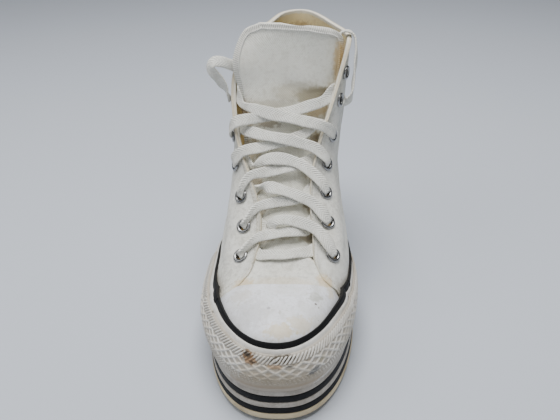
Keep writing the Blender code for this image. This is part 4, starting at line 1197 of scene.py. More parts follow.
def ring_stations():
    return np.concatenate([stations_between(0.0, 1.0, 0.006), stations_between(1.0, LAST_STATION, 0.05)[1:]])


FOXING_COLUMNS = 30
FOXING_SWELL = 0.22
# The foxing's round lip. Columns: share of its thickness, how far over its top edge
LIP_ROWS = ((0.85, 0.25), (0.5, 0.35), (0.1, 0.2))


def foxing_section(side, stations):
    """The foxing's skin: up its face, round its lip and down behind it."""
    h = np.linspace(0, 1, FOXING_COLUMNS)
    face = foxing_face(side, stations, h)
    swell = FOXING_SWELL * waves(face, 11, 34.0) * ease(0.0, 0.1, h)
    face = face + ways_of(side, face) * swell[..., None]
    ribs = long_ribs(side, stations)
    top = share_at_distance(ribs, foxing_share(side, stations), -FOXING_TUCK)
    point, way = wall(side, stations, top)
    over = cover(stations) + 2 * GAP + 0.8 * fuller(side, point)
    rise = unit(bezier_way(ribs, top))
    lips = [point + way * (over + (FOXING_LIP - GAP) * out)[..., None] + rise * up for out, up in LIP_ROWS]
    inside = []
    for share in (1.0, 0.5, 0.0):
        point, way = wall(side, stations, top * share)
        inside.append(point + way * over[..., None])
    inside[-1] = on_deck(inside[-1])
    return np.concatenate([face, *lips, *inside, face[:, :1]], 1)


def make_foxing(finishes):
    stations = ring_stations()
    grids = [grid(foxing_section(side, stations[:, None])) for side, _ in SIDES]
    put(build("foxing_band", grids, [finishes["white"]]), "foxing")


# Where the tape's ends overlap. Columns: side, station, half its run of stations, how much wider, thicker
TAPE_LAPS = ((OUTER, 0.72, 0.03, 0.2, 0.4), (INNER, 1.74, 0.11, 0.16, 0.35))
TAPE_WIDE = TAPE_WIDTH_ROWS[-1][1]
TAPE_FACE = STRIPE_TAPE / 2  # parts of the tape's section further out than this are its face


def tape_section(side, stations, wider=0.0, thicker=0.0):
    """The black tape's section on the foxing's top edge, with rounded corners."""
    ribs = long_ribs(side, stations)
    low = foxing_share(side, stations)
    base, _ = wall(side, stations, low)
    drift = 0.28 * waves(base, 3, 46.0) + 0.16 * waves(base, 4, 13.0)
    over = (cover(stations) + GAP + 0.4 * fuller(side, base))[..., None]
    width = table(TAPE_WIDTH_ROWS, around_of(side, stations))
    thick = STRIPE_TAPE + thicker
    fill = 1 + (0.6 * fuller(side, base) / thick)[..., None]
    top = TAPE_WIDE + wider
    corners = [(-wider, 0.0), (top, 0.0), (top, thick), (-wider, thick), (-wider, 0.0)]
    section, edges = [], []
    for reach, out in rounded(corners, 0.5):
        share = share_at_distance(ribs, low, np.maximum(reach * width / TAPE_WIDE, 1e-3))
        point, way = wall(side, stations, share)
        rise = unit(bezier_way(ribs, share))
        on_face = out > TAPE_FACE
        bow = 0.18 * math.sin(math.pi * np.clip(reach / TAPE_WIDE, 0, 1)) if on_face else 0.0
        section.append(point + way * (over + out * fill + bow) + rise * (drift[..., None] + min(reach, 0)))
        edges.append(min(reach + wider, top - reach) if on_face else 0.0)
    points = np.concatenate(section, 1)
    return points, np.broadcast_to(edges, points.shape[:2])


def make_foxing_tape(finishes):
    stations = ring_stations()
    grids = []
    for side, _ in SIDES:
        points, edges = tape_section(side, stations[:, None])
        grids.append(grid(rounded_tip(points, 0), edge=edges))
    tape = build("black_foxing_tape", grids, [finishes["black"]])
    put(tape, "foxing_stripe")
    for number, (side, station, reach, wider, thicker) in enumerate(TAPE_LAPS, 1):
        there = np.linspace(station - reach, station + reach, 17)[:, None]
        points, edges = tape_section(side, there, wider, thicker)
        middle = points.mean(1, keepdims=True)
        points[0], points[-1] = middle[0], middle[-1]
        lap = build(f"tape_lap_{number}", [grid(points, edge=edges)], [finishes["black"]])
        put(lap)


# How often the toe's tip is evened out, over how many rows, and how many columns it takes to come in
TIP_ROUNDS, TIP_ROWS, TIP_COLUMNS = 40, 9.0, 6


def rounded_tip(points, kept=TIP_COLUMNS):
    """Takes the faint ridge out of the middle line, where the two sides meet, above the lowest columns."""
    made = points.copy()
    share = ease(TIP_ROWS, 0.0, np.arange(len(made) - 1))[:, None, None] * 0.5
    share = share * ease(kept - TIP_COLUMNS, kept, np.arange(points.shape[1]))[:, None]
    for _ in range(TIP_ROUNDS):
        mirrored = made[1:2] * (-1, 1, 1) + (2 * TOE_SHIFT, 0, 0)
        rows = np.concatenate([mirrored, made])
        near = (rows[:-2] + rows[2:]) / 2
        made[:-1] += share * (near - made[:-1]) * (0, 1, 1)
    return made


CAP_ROUND = 0.03  # the last stations of the cap, where its rows lie closer together


def make_toe_cap(finishes):
    """The smooth rubber cap, rounded off along its rear edge."""
    closer = CAP_REAR - CAP_ROUND * (1 - np.linspace(0, 1, 12)[1:]) ** 1.6
    stations = np.concatenate([np.linspace(0, CAP_REAR - CAP_ROUND, 100), closer])
    grids = []
    for side, _ in SIDES:
        low = foxing_share(side, stations)[:, None] * 0.6
        point, way = fore(side, stations[:, None], low + (1 - low) * np.linspace(0, 1, 74))
        away = run_length(point, 0)
        to_rear = away[-1:] - away
        thin = 0.45 + 0.55 * ease(0.0, 7.0, to_rear)
        front = (GAP + CAP_THICK) * thin + 0.10 * waves(point, 21, 26.0)
        outer, inner = two_faces(point, way, front, GAP * 0.7, round_over(to_rear, 1.0))
        outer = rounded_tip(outer)
        grids += [grid(outer), grid(inner), grid(np.stack([outer[:, 0], inner[:, 0]], 1))]
    put(build("rubber_toe_cap", grids, [finishes["cap"]]), "toe_cap")


# The relief's bands, in millimetres down from its top edge: each starts, is full from and to, and ends
RIB_BAND = (0.9, 1.4, 5.7, 6.2)
DIAMOND_BAND = (6.0, 6.5, 15.6, 16.1)
STIPPLE_BAND = (15.6, 16.0, 19.8, 20.4)
RIB_PITCH, RIB_SLANT = 2.7, 0.9
DIAMOND_TOP, DIAMOND_WIDE, DIAMOND_HIGH = 6.3, 8.0, 5.2


def within(band_of, down):
    """1 in a band of the relief, softly down to 0 outside it."""
    start, full_from, full_to, end = band_of
    return ease(start, full_from, down) * ease(end, full_to, down)


def relief(around_run, down):
    """How high the toe's relief stands, 0 to 1: rope ribs, then raised diamonds, then a stippled band."""
    rope = 0.5 + 0.5 * np.cos(math.tau * (around_run + RIB_SLANT * (down - 3.0)) / RIB_PITCH)
    ribs = within(RIB_BAND, down) * ease(0.2, 0.75, rope)
    y = down - DIAMOND_TOP
    lines = np.zeros(np.broadcast(around_run, down).shape)
    for sign in (1, -1):
        phase = around_run / DIAMOND_WIDE + sign * y / DIAMOND_HIGH
        phase = phase + 0.05 * np.sin(around_run / 5.3 + sign) + 0.04 * np.sin(down / 2.1)
        near = np.abs(phase - np.round(phase)) * DIAMOND_HIGH * 0.85
        lines = np.maximum(lines, ease(1.15, 0.1, near))
    dots = np.cos(math.tau * (around_run + 0.5 * down) / 2.3) * np.cos(math.tau * down / 2.4)
    stipple = 0.8 * within(STIPPLE_BAND, down) * ease(0.0, 0.5, dots)
    return np.maximum.reduce([ribs, lines * within(DIAMOND_BAND, down), stipple])


RELIEF_ROWS, RELIEF_COLUMNS = 356, 66
COARSE_ROWS = 120
RELIEF_THIN, RELIEF_FADE = 0.6, 30.0  # how much thinner its ends are, and where its pattern fades


def make_toe_relief(finishes):
    """The moulded strip round the toe, thinning out at its two ends."""
    grids = []
    for side, _ in SIDES:
        end = station_at(side, BUMPER_END)
        coarse = np.linspace(0, end, COARSE_ROWS)
        run = run_length(foxing_face(side, coarse, np.full(COARSE_ROWS, 0.6)), 0)
        stations = np.interp(np.linspace(0, run[-1], RELIEF_ROWS), run, coarse)
        stations[-1] = end
        h = np.linspace(BUMPER_FROM, BUMPER_TO, RELIEF_COLUMNS)
        face = foxing_face(side, stations[:, None], h)
        ways = ways_of(side, face)
        up = run_length(face, 1)
        down = up[:, -1:] - up
        along = side * np.interp(stations, coarse, run)[:, None]
        to_end = run[-1] - np.abs(along)
        full = round_over(to_end, 1.0) * round_over(up, 0.7) * round_over(down, 0.9)
        high = relief(along, down) * (0.4 + 0.6 * ease(0.0, RELIEF_FADE, to_end))
        thick = GAP + BUMPER_THIN + RELIEF_THIN * np.clip((end - stations[:, None]) / BUMPER_TAPER, 0, 1)
        worn = 0.75 + 0.25 * waves(face, 31, 18.0)
        front = thick + size("relief_height") * high * worn
        top, back = two_faces(face, ways, front, GAP * 0.5, full, front * 0.3 + GAP * 0.7)
        grids += [grid(top, relief=high), grid(back)]
    put(build("toe_relief", grids, [finishes["relief"]], sharp_deg=80.0), "toe_bumper")


# The upper's cloth

# Where the quarter's front edge runs. Columns: share of the rib, station
FRONT_EDGE = {
    OUTER: (
        (0, 0.72), (0.5, 0.735), (0.78, 0.76), (0.896, 0.83), (0.948, 0.892), (0.985, 0.958), (1, 1.06),
    ),
    INNER: (
        (0, 0.89), (0.5, 0.875), (0.79, 0.867), (0.90, 0.915), (0.948, 1), (0.985, 1.12), (1, 1.28),
    ),
}
# Soft troughs in the quarters, and ridges where the depth is negative.
# Columns: side, along, up, lean in degrees, half length, half width, depth
FOLDS = (
    (OUTER, 100, 62, 20, 22, 5, 0.9),
    (OUTER, 118, 70, 35, 26, 6, 1.1),
    (OUTER, 86, 56, 5, 14, 4, 0.7),
    (OUTER, 150, 95, 60, 26, 8, 1.2),
    (OUTER, 180, 105, 15, 34, 9, 1.7),
    (OUTER, 196, 128, 10, 34, 9, -1.2),
    (OUTER, 214, 92, -20, 30, 8, 1.4),
    (OUTER, 236, 120, -8, 26, 8, 1.2),
    (OUTER, 68, 60, 50, 3.2, 2.6, 0.7),
    (INNER, 98, 62, 15, 22, 5, 0.9),
    (INNER, 122, 76, 32, 26, 6, 1.1),
    (INNER, 146, 104, 55, 26, 8, 1.2),
    (INNER, 178, 100, 12, 36, 9, 1.8),
    (INNER, 200, 134, 5, 30, 9, -1.1),
    (INNER, 216, 96, -18, 30, 8, 1.5),
    (INNER, 240, 124, -5, 24, 8, 1.2),
)


FOLD_WRIGGLE = 0.12  # how far a fold winds to and fro, as a share of its half width


def trough(ahead, up, lean, half_length, half_wide, depth, wriggle=0.0):
    """How deep a soft trough is, a distance ahead and up from its middle."""
    turn = math.radians(lean)
    length = ahead * math.cos(turn) + up * math.sin(turn)
    width = up * math.cos(turn) - ahead * math.sin(turn) + wriggle * half_wide * np.sin(length / 7.0)
    return depth * hump(width, 0.0, half_wide) * hump(length, 0.0, half_length)


def folds(side, points):
    """How deep the quarter's folds push the cloth in."""
    return sum(
        trough(points[..., 1] - along, points[..., 2] - up, *shape, FOLD_WRIGGLE)
        for fold_side, along, up, *shape in FOLDS if fold_side == side
    )


def throat_row(distance):
    """Rows of the quarter's table at distances up the throat's edge."""
    rows = np.linspace(0, COLLAR_CORNER_ROW, 141)
    edge = quarter_ribs(OUTER, rows)[:, 3] * (0, 1, 1)
    run = run_length(edge, 0)
    return np.interp(distance, run, rows)


EYELET_ROWS = {side: throat_row(np.array(EYELET_PLACES[side])[:, 0]) for side, _ in SIDES}


def eyelet_frame(side, index):
    """An eyelet's place on the upper's base surface, the way out of it and the way up along the throat."""
    row = EYELET_ROWS[side][index]
    v = share_at_distance(quarter_ribs(side, row), 1.0, -EYELET_PLACES[side][index][1])
    point, out = panel(side, 1 + row, v)
    near = bezier(quarter_ribs(side, row + 0.01), v) - bezier(quarter_ribs(side, row - 0.01), v)
    return point, out, unit(near - out * (near @ out))


def panel_places(side):
    """Stations and shares of the quarter's grid, closer together at its edges and by the eyelets."""
    shares = np.concatenate([np.linspace(0, 0.70, 56), np.linspace(0.70, 0.992, 46)[1:],
                             [0.9945, 0.9965, 0.998, 0.9992, 1.0]])
    steps = np.concatenate([[0.0, 0.0004, 0.0012, 0.0024, 0.004], np.linspace(0.006, 0.62, 150),
                            np.linspace(0.62, 1.0, 62)[1:]])
    edge = np.array(FRONT_EDGE[side])
    front = smooth(edge[:, 0], edge[:, 1], shares)
    return front + (LAST_STATION - front) * steps[:, None], shares + 0 * steps[:, None]


def quarter_skin(side, stations, shares):
    """The quarter's points and ways with its creases."""
    point, way = panel(side, stations, shares)
    calm = ease(0.0, 12.0, run_length(point, 0)) * ease(1.0, 0.93, shares)
    push = 0.22 * waves(point, 41 + side, 30.0) + 0.12 * waves(point, 51, 11.0) - folds(side, point) * calm
    return point + way * push[..., None], way


def quarter_grid(side):
    """Stations, points, ways, and runs from the quarter's front edge, from its foot and to its top edge."""
    stations, shares = panel_places(side)
    point, way = quarter_skin(side, stations, shares)
    up = run_length(point, 1)
    return stations, point, way, run_length(point, 0), up, up[:, -1:] - up


HEEL_STRIP = 11.0  # half as wide as the strip over the back seam
# Where the cloth is doubled: how much higher it stands, and how far in from an edge that starts and is full
EDGE_HEM = (0.28, 5.2, 4.4)
THROAT_HEM = (0.75, 3.7, 2.9)
HEEL_HEM = (0.45, HEEL_STRIP, HEEL_STRIP - 0.7)
VAMP_LAP = 0.08  # the quarter's front end lies this high over the vamp
DIRT_OVER_RUBBER = 3.0  # dirt on the quarters thins out from this far over the foxing's edge upwards
FAR_IN = 9.0  # further from an edge than any of its marks reach
HOLE_REACH = 9.0  # an eyelet's hole is cut in the cloth no further than this from its middle


def doubled(away, high, starts, full):
    """How much higher doubled cloth stands, at a distance from its edge."""
    return high * ease(starts, full, away)


def make_quarter(side, name, finishes):
    stations, point, way, ahead, up, to_throat = quarter_grid(side)
    edge = np.minimum(ahead, to_throat)
    full = round_over(ahead, 0.8) * round_over(to_throat, 0.8)
    hem = doubled(edge, *EDGE_HEM) + doubled(to_throat, *THROAT_HEM) + doubled(ahead[-1:] - ahead, *HEEL_HEM)
    back = VAMP_LAP - (WALL + VAMP_LAP) * ease(1.0, 1.12, stations)
    outer, lining = two_faces(point, way, QUARTER_STEP + hem, back, full)
    holes = np.zeros(stations.shape, bool)
    for index in range(EYELETS):
        centre, out, _ = eyelet_frame(side, index)
        away = point - centre
        flat = np.linalg.norm(away - (away @ out)[..., None] * out, axis=-1)
        holes |= (flat < EYELET_BARREL) & (np.linalg.norm(away, axis=-1) < HOLE_REACH)
    rubber = table(FOXING_ROWS, around_of(side, stations[:, 0]))[:, None]
    above = point[..., 2] - (rubber + DIRT_OVER_RUBBER)
    uv = stack(ahead, up)
    grids = [
        grid(outer, 0, holes, uv, edge=edge, above_rubber=above, throat=to_throat),
        grid(lining, 1, holes, uv, edge=edge, above_rubber=above),
        closing_strip(outer[:, 0], lining[:, 0]),
    ]
    made = build(f"quarter_{name}", grids, [finishes["canvas"], finishes["lining"]], sharp_deg=70.0)
    put(made, "upper")


def closing_strip(edge, other_edge):
    """The strip between the borders of a cloth's two faces."""
    return grid(np.stack([edge, other_edge], 1), 1, edge=FAR_IN, above_rubber=0.0)


VAMP_REACH = 4.5  # how far the vamp's rear corners run on under the quarters
ONWARD = (0.25, 0.5, 0.75, 0.9, 1.0)  # shares of that run where rows lie
VAMP_DIRT_FROM = 48.0  # dirt on the vamp thins out from this height upwards
# Shallow folds across the vamp behind the cap. Columns: along, half width, depth
RIPPLES = ((66.0, 3.0, 0.5), (60.5, 2.4, -0.35))


def make_vamp(finishes):
    stations = np.concatenate([np.linspace(0.74, 0.985, 60), [0.99, 0.994, 0.9975, 1.0]])
    shares = np.linspace(0, 1, 98)
    grids = []
    for side, _ in SIDES:
        point, way = fore(side, stations[:, None], shares)
        reach = VAMP_REACH * ease(8.0, 17.0, np.abs(point[-1, :, 0] - TOE_SHIFT))[:, None]
        run_on, droop = unit(point[-1] - point[-4]) * reach, way[-1] * 0.12 * reach
        point = np.concatenate([point, [point[-1] + run_on * each - droop * each ** 2 for each in ONWARD]])
        way = np.concatenate([way, way[-1:].repeat(len(ONWARD), 0)])
        to_edge = run_length(point, 0)
        to_edge = to_edge[-1:] - to_edge
        ripple = sum(depth * hump(point[..., 1], along, half_wide) for along, half_wide, depth in RIPPLES)
        push = 0.3 * waves(point, 61, 18.0) - ripple * ease(26.0, 12.0, np.abs(point[..., 0] - TOE_SHIFT))
        point = point + way * (push * ease(0.0, 3.0, to_edge))[..., None]
        outer, inner = two_faces(point, way, 0.0, -WALL, round_over(to_edge, 0.6))
        above = point[..., 2] - VAMP_DIRT_FROM
        grids += [
            grid(outer, 0, edge=to_edge, above_rubber=above, throat=FAR_IN),
            grid(inner, 1, edge=to_edge, above_rubber=above),
            closing_strip(outer[:, 0], inner[:, 0]),
            closing_strip(outer[0], inner[0]),
        ]
    made = build("vamp", grids, [finishes["canvas"], finishes["lining"]], sharp_deg=70.0)
    put(made, "upper")


# The tongue


LAST_TONGUE_ROW = len(TONGUE_ROWS) - 1.0
TONGUE_TOP_FROM = 10.3  # its rows lie closer together from here up
WIDER_TONGUE = 2.2  # at most, over the part
TONGUE_CURL = 2.6  # how far back its inner edge curls, near its top


def rounder_corner(row):
    """How much further out the tongue's outer top corner reaches than in the part, so that it is round."""
    return WIDER_TONGUE * hump(row, 9.9, 0.5)


def wider_side(row):
    """How much further the tongue's inner side reaches, behind the quarter's edge."""
    return WIDER_TONGUE * ease(5.5, 7.5, row) * ease(11.0, 10.2, row)


def half_of(row, across):
    """The tongue's half width on the side where across lies."""
    rows = np.array(TONGUE_ROWS)
    at = smooth(np.arange(len(rows)), rows, row)
    return np.where(np.asarray(across) < 0, at[..., 2] + rounder_corner(row), at[..., 3] + wider_side(row))


def tongue_point(row, across):
    """Points of the tongue's middle layer: across runs -1 to 1, outer to inner."""
    rows = np.array(TONGUE_ROWS)
    places = np.arange(len(rows))
    row, across = floats(row, across)
    at = np.moveaxis(smooth(places, rows, row), -1, 0)
    before = smooth(places, rows, np.maximum(row - 0.05, 0.0))
    after = smooth(places, rows, np.minimum(row + 0.05, LAST_TONGUE_ROW))
    way = unit(stack(0.0, -(after - before)[..., 1], (after - before)[..., 0]))
    half = half_of(row, across)
    curl = TONGUE_CURL * ease(0.75, 1.0, across) * ease(5.5, 7.5, row)
    back = np.where(across < 0, at[4], at[5]) + curl
    droop = TONGUE_TILT * across.clip(0) * np.clip(row - TILT_FROM, 0, None) / (LAST_TONGUE_ROW - TILT_FROM)
    return stack(half * across, at[0], at[1] + droop) - way * (back * across * across)[..., None]


def tongue_way(row, across):
    e = 0.02
    run = tongue_point(row, np.minimum(across + e, 1.0)) - tongue_point(row, np.maximum(across - e, -1.0))
    above = tongue_point(np.minimum(row + e, LAST_TONGUE_ROW), across)
    return unit(np.cross(run, above - tongue_point(np.maximum(row - e, 0.0), across)))


# Soft troughs across the tongue. Columns: row, across, lean, half length, half width, depth
TONGUE_FOLDS = (
    (6.2, -0.1, 10, 16, 5, 1),
    (6.9, 0.35, -22, 16, 5, 0.9),
    (4.4, 0, 4, 18, 4, 0.9),
    (5.3, 0.2, -14, 14, 3.6, 0.7),
    (8.3, 0.45, -70, 18, 6, 0.8),
    (9.2, -0.2, 30, 20, 7, -0.6),
)


def tongue_skin(row, across):
    point, way = tongue_point(row, across), tongue_way(row, across)
    push = 0.25 * waves(point, 71, 22.0)
    for at, middle, *shape in TONGUE_FOLDS:
        aside, along, up = np.moveaxis(point - tongue_point(at, middle), -1, 0)
        push = push - trough(aside, np.hypot(along, up) * np.sign(up), *shape)
    return point + way * push[..., None], way


def make_tongue(finishes):
    closer = np.linspace(TONGUE_TOP_FROM, LAST_TONGUE_ROW, 28)[1:]
    rows = np.concatenate([np.linspace(0, TONGUE_TOP_FROM, 172), closer])[:, None]
    quarter_turn = math.pi / 2 * 0.9
    across = np.sin(np.linspace(-quarter_turn, quarter_turn, 75)) / math.sin(quarter_turn)
    point, way = tongue_skin(rows, across)
    sideways = run_length(point, 1)
    to_side = np.minimum(sideways, sideways[:, -1:] - sideways)
    up = run_length(point, 0)
    to_top = up[-1:] - up
    edge = np.minimum(to_side, np.minimum(to_top, up))
    full = round_over(edge, 1.1) * (TONGUE_THICK / 2)
    uv = stack(up, sideways)
    grids = [
        grid(point - way * full[..., None], 1, uv=uv, edge=edge),
        grid(point + way * full[..., None], 0, uv=uv, edge=edge),
    ]
    made = build("cloth_tongue", grids, [finishes["tongue"], finishes["tongue_back"]], sharp_deg=70.0)
    put(made, "tongue")
    make_overlock(finishes)


def tongue_edge(count):
    """The tongue's edge laid flat, up one side, over the top and down the other: run, place, way in."""
    side_rows = np.linspace(1.2, LAST_TONGUE_ROW, 400)
    tops = np.linspace(-1.0, 1.0, 120)[1:-1]
    rows = np.concatenate([side_rows, np.full(tops.shape, LAST_TONGUE_ROW), side_rows[::-1]])
    across = np.concatenate([np.full(400, -1.0), tops, np.full(400, 1.0)])
    run = run_length(tongue_point(rows, across), 0)
    at = np.linspace(0, run[-1], count)
    sideways, up = across * half_of(rows, across), length_up(rows)
    flat = np.stack([np.interp(at, run, sideways), np.interp(at, run, up)], -1)
    for _ in range(6):
        flat[1:-1] = flat[1:-1] * 0.5 + (flat[:-2] + flat[2:]) * 0.25
    way = np.gradient(flat, axis=0)
    inward = unit(stack(way[:, 1], -way[:, 0]))
    return at, flat, inward


FINE_ROWS = np.linspace(0, LAST_TONGUE_ROW, 300)
FINE_RUN = run_length(tongue_point(FINE_ROWS, 0.0), 0)


def length_up(row):
    """How far up the tongue's middle a row lies, in millimetres."""
    return np.interp(row, FINE_ROWS, FINE_RUN)


def row_of(run):
    return np.interp(run, FINE_RUN, FINE_ROWS)


OVERLOCK_ROWS, OVERLOCK_COLUMNS = 2300, 17
LOOP_HEIGHT, CHAIN_HEIGHT = 0.42, 0.55
CHAIN_IN, CHAIN_HALF = 0.6, 0.45  # the chain's place from the loops' inner ends, and its half width


def make_overlock(finishes):
    """The thread bound over the tongue's edge: close loops in front and behind, and a chain along them."""
    at, flat, inward = tongue_edge(OVERLOCK_ROWS)
    width = size("overlock_width")
    columns, gaps = [], []
    for angle in np.linspace(-1, 1, OVERLOCK_COLUMNS):
        reach = width * abs(angle) ** 1.3
        inside = flat + inward * reach
        row = row_of(inside[:, 1])
        across = np.clip(inside[:, 0] / np.maximum(half_of(row, inside[:, 0]), 1.0), -1, 1)
        point, way = tongue_skin(row, across)
        loops = 0.5 + 0.5 * np.cos(math.tau * (at + 0.25 * reach) / size("overlock_pitch"))
        chain = CHAIN_HEIGHT * hump(reach, width - CHAIN_IN, CHAIN_HALF)
        height = TONGUE_THICK / 2 + 0.12 + LOOP_HEIGHT * loops ** 0.7 + chain
        if abs(angle) == 1:
            height = np.full_like(height, TONGUE_THICK / 2 - 0.2)
        facing = -np.clip(angle * 4, -1, 1)
        spread = math.sqrt(1 - facing**2) * (0.3 + 0.4 * loops)
        sideways = unit(point - tongue_skin(row, across * 0.9)[0])
        columns.append(point + way * (facing * height)[:, None] + sideways * spread[:, None])
        # How high the thread stands; its low places, between the loops, are painted dark as shade
        gaps.append(loops * ease(width, width - 0.3, reach) + chain)
    skin = grid(np.stack(columns, 1), thread=np.stack(gaps, 1))
    put(build("tongue_overlock", [skin], [finishes["overlock"]], sharp_deg=80.0))


# Eyelets and laces

# Columns: radius, how far out of the upper's base surface
EYELET_PROFILE = (
    (2.75, -1.9), (2.75, 1.3), (2.9, 1.85), (3.35, 2.3), (4.0, 2.45), (4.65, 2.2), (5.05, 1.7), (5.05, 1.25),
    (4.0, 1.12), (3.4, 0.9), (3.4, -1.4), (4.4, -1.45), (4.5, -1.7), (3.8, -2.05),
)


def make_eyelet(side, name, index, finishes):
    centre, out, up = eyelet_frame(side, index)
    bm = bmesh.new()
    verts = [bm.verts.new((radius * MM, 0.0, high * MM)) for radius, high in EYELET_PROFILE]
    edges = [bm.edges.new(pair) for pair in zip(verts, verts[1:] + verts[:1])]
    spun = {"axis": (0, 0, 1), "cent": (0, 0, 0), "angle": math.tau, "steps": 36, "use_merge": True}
    bmesh.ops.spin(bm, geom=verts + edges, **spun)
    bmesh.ops.remove_doubles(bm, verts=bm.verts, dist=1e-6)
    bmesh.ops.recalc_face_normals(bm, faces=bm.faces)
    across = np.cross(up, out)
    turn = Matrix(np.array([across, up, out]).T.tolist()).to_4x4()
    bm.transform(Matrix.Translation(metres(centre)) @ turn)
    made = finish_mesh(f"ring_{name}_{index + 1}", bm, [finishes["metal"]], 60.0)
    put(made, f"eyelet_{name}_{index + 1}")


LACE_STEP = 0.6
LACE_TURNS = np.linspace(0, math.tau, 29)
LACE_FULL = (0.62, 0.8)  # how square the lace's section is across and through
LACE_TWIST, TWIST_LENGTH = 0.2, 41.0  # in radians, and over how much of its length
# Shares of the lace's width and thickness: lying flat, pressed together in an eyelet, and a little pressed
FLAT, BUNCHED, NARROWED = (1.0, 1.0), (0.68, 1.5), (0.8, 1.2)


def strip_through(rows, seed=0):
    """A flat lace's skin through rows of place, way out and shares, and its middle line."""
    run = run_length(rows[:, :3], 0)
    at = np.linspace(0, run[-1], int(run[-1] / LACE_STEP) + 1)
    values = smooth(run, rows, at)
    middle, face = values[:, :3], values[:, 3:6]
    way = unit(np.gradient(middle, axis=0))
    face = unit(face - way * np.sum(face * way, axis=-1, keepdims=True))
    across = np.cross(way, face)
    free = ease(0.75, 1.0, values[:, 6:7])
    twist = LACE_TWIST * np.sin(at[:, None] * math.tau / TWIST_LENGTH + 2.1 * seed) * free
    c, s = np.cos(twist), np.sin(twist)
    face, across = face * c + across * s, across * c - face * s
    uneven = 1 + 0.05 * np.sin(at / 3.7 + 1.7 * seed)[:, None, None]
    wide = values[:, 6:7, None] * size("lace_width") / 2 * uneven
    thick = values[:, 7:8, None] * size("lace_thick") / 2 / uneven
    cos, sin = np.cos(LACE_TURNS)[None, :, None], np.sin(LACE_TURNS)[None, :, None]
    x = np.sign(cos) * np.abs(cos) ** LACE_FULL[0]
    y = np.sign(sin) * np.abs(sin) ** LACE_FULL[1] * (1 + 0.18 * x * x)
    points = middle[:, None] + across[:, None] * x * wide + face[:, None] * (y * thick + 0.12 * x * x)
    uv = stack(run_length(middle, 0)[:, None], (x * wide)[..., 0])
    ends = [np.repeat(points[i].mean(0)[None, None], points.shape[1], 1) for i in (0, -1)]
    points = np.concatenate([ends[0], points, ends[1]])
    uv = np.concatenate([uv[:1], uv, uv[-1:]])
    return grid(points, uv=uv), middle


def lace_strip(route, seed=0):
    """The same along a route of (place, way out of its face, shares of its two sizes)."""
    return strip_through(np.array([(*at, *face, *shares) for at, face, shares in route]), seed)


def loose_end(name, node, rows, finishes):
    """One of the lace's free ends, from its top eyelet back over the upper's edge: a limp flat cord."""
    skin, middle = strip_through(np.array([(*row, *FLAT) for row in rows]))
    made = build(name, [skin], [finishes["lace"]])
    put(made, node)
    path = metres(middle)
    tuple(metres(rows[0][:3]))
    size("lace_width") * MM
    [tuple(p) for p in path]


def instep_way(row):
    run = quarter_ribs(OUTER, row + 0.05)[3] - quarter_ribs(OUTER, max(row - 0.05, 0.0))[3]
    return unit(np.array([0.0, -run[2], run[1]]))


def instep(row, across, height):
    """A point over the throat: a row of the quarter's table, how far across, how high over its edges."""
    edge = quarter_ribs(OUTER, row)[3]
    return np.array([across, edge[1], edge[2]]) + height * instep_way(row)


def along_surface(way, out):
    return unit(way - out * (way @ out))


def turned(way, run, degrees):
    """A way out turned about the lace's own run."""
    angle = math.radians(degrees)
    run = unit(run)
    return unit(way * math.cos(angle) + np.cross(run, way) * math.sin(angle))


# Strands that leave their eyelet standing on edge, and those whose far end does, in degrees
TURNED_OUT = {(OUTER, 0): 62.0, (OUTER, 1): 55.0, (OUTER, 2): 45.0}
TURNED_IN = {(INNER, 1): -58.0, (INNER, 2): -48.0, (INNER, 4): -30.0}


def out_of_eyelet(side, index, onward):
    """The lace's way up through an eyelet and over its flange, towards the next place on its route."""
    centre, out, _ = eyelet_frame(side, index)
    way = along_surface(onward - centre, out)
    twist = TURNED_OUT.get((side, index), 0.0)
    high, shares = (3.6, (0.6, 1.7)) if twist else (3.3, (0.95, 1.15))
    return [
        (centre - out * 1.2, -way, BUNCHED),
        (centre + out * 1.9, -way * 0.8 + out * 0.4, BUNCHED),
        (centre + out * high + way * 2.6, turned(out, way, twist), shares),
    ]


def into_eyelet(side, index):
    """The lace's hidden way under the quarter and up into an eyelet."""
    centre, out, _ = eyelet_frame(side, index)
    ribs = quarter_ribs(side, EYELET_ROWS[side][index])
    way = along_surface(bezier_way(ribs, np.array(1.0)), out)
    under, under_way = panel(side, 1 + EYELET_ROWS[side][index], share_at_distance(ribs, 1.0, -4.0))
    return [
        (under - under_way * (WALL + 1.3), under_way, FLAT),
        (centre - out * (WALL + 1.8) + way * 3.0, out, NARROWED),
        (centre - out * (WALL + 0.2) + way * 0.3, way * 0.7 + out * 0.7, BUNCHED),
    ]


# Rows of the quarter's table that each crossing's strand passes at its own edge, a quarter and three quarters
# of the way over the throat, and at the far edge
STRAND_ROWS = {
    INNER: (
        (1.22, 1.40, 1.40, 1.18),
        (2.13, 2.34, 2.59, 2.62),
        (3.07, 3.40, 3.44, 3.27),
        (3.82, 4.05, 4.31, 4.45),
        (4.53, 4.71, 5.04, 5.24),
    ),
    OUTER: (
        (0.83, 0.98, 1.12, 1.16),
        (1.93, 2.08, 2.24, 2.30),
        (2.93, 3.09, 3.33, 3.45),
        (3.71, 3.90, 4.32, 4.63),
        (4.62, 4.80, 5.15, 5.36),
    ),
}
# How high a strand passes there. The inner side's lies on top, so that the two only touch.
STRAND_HEIGHTS = {INNER: (2.9, 3.7, 2.9), OUTER: (2.8, 2.1, 1.4)}


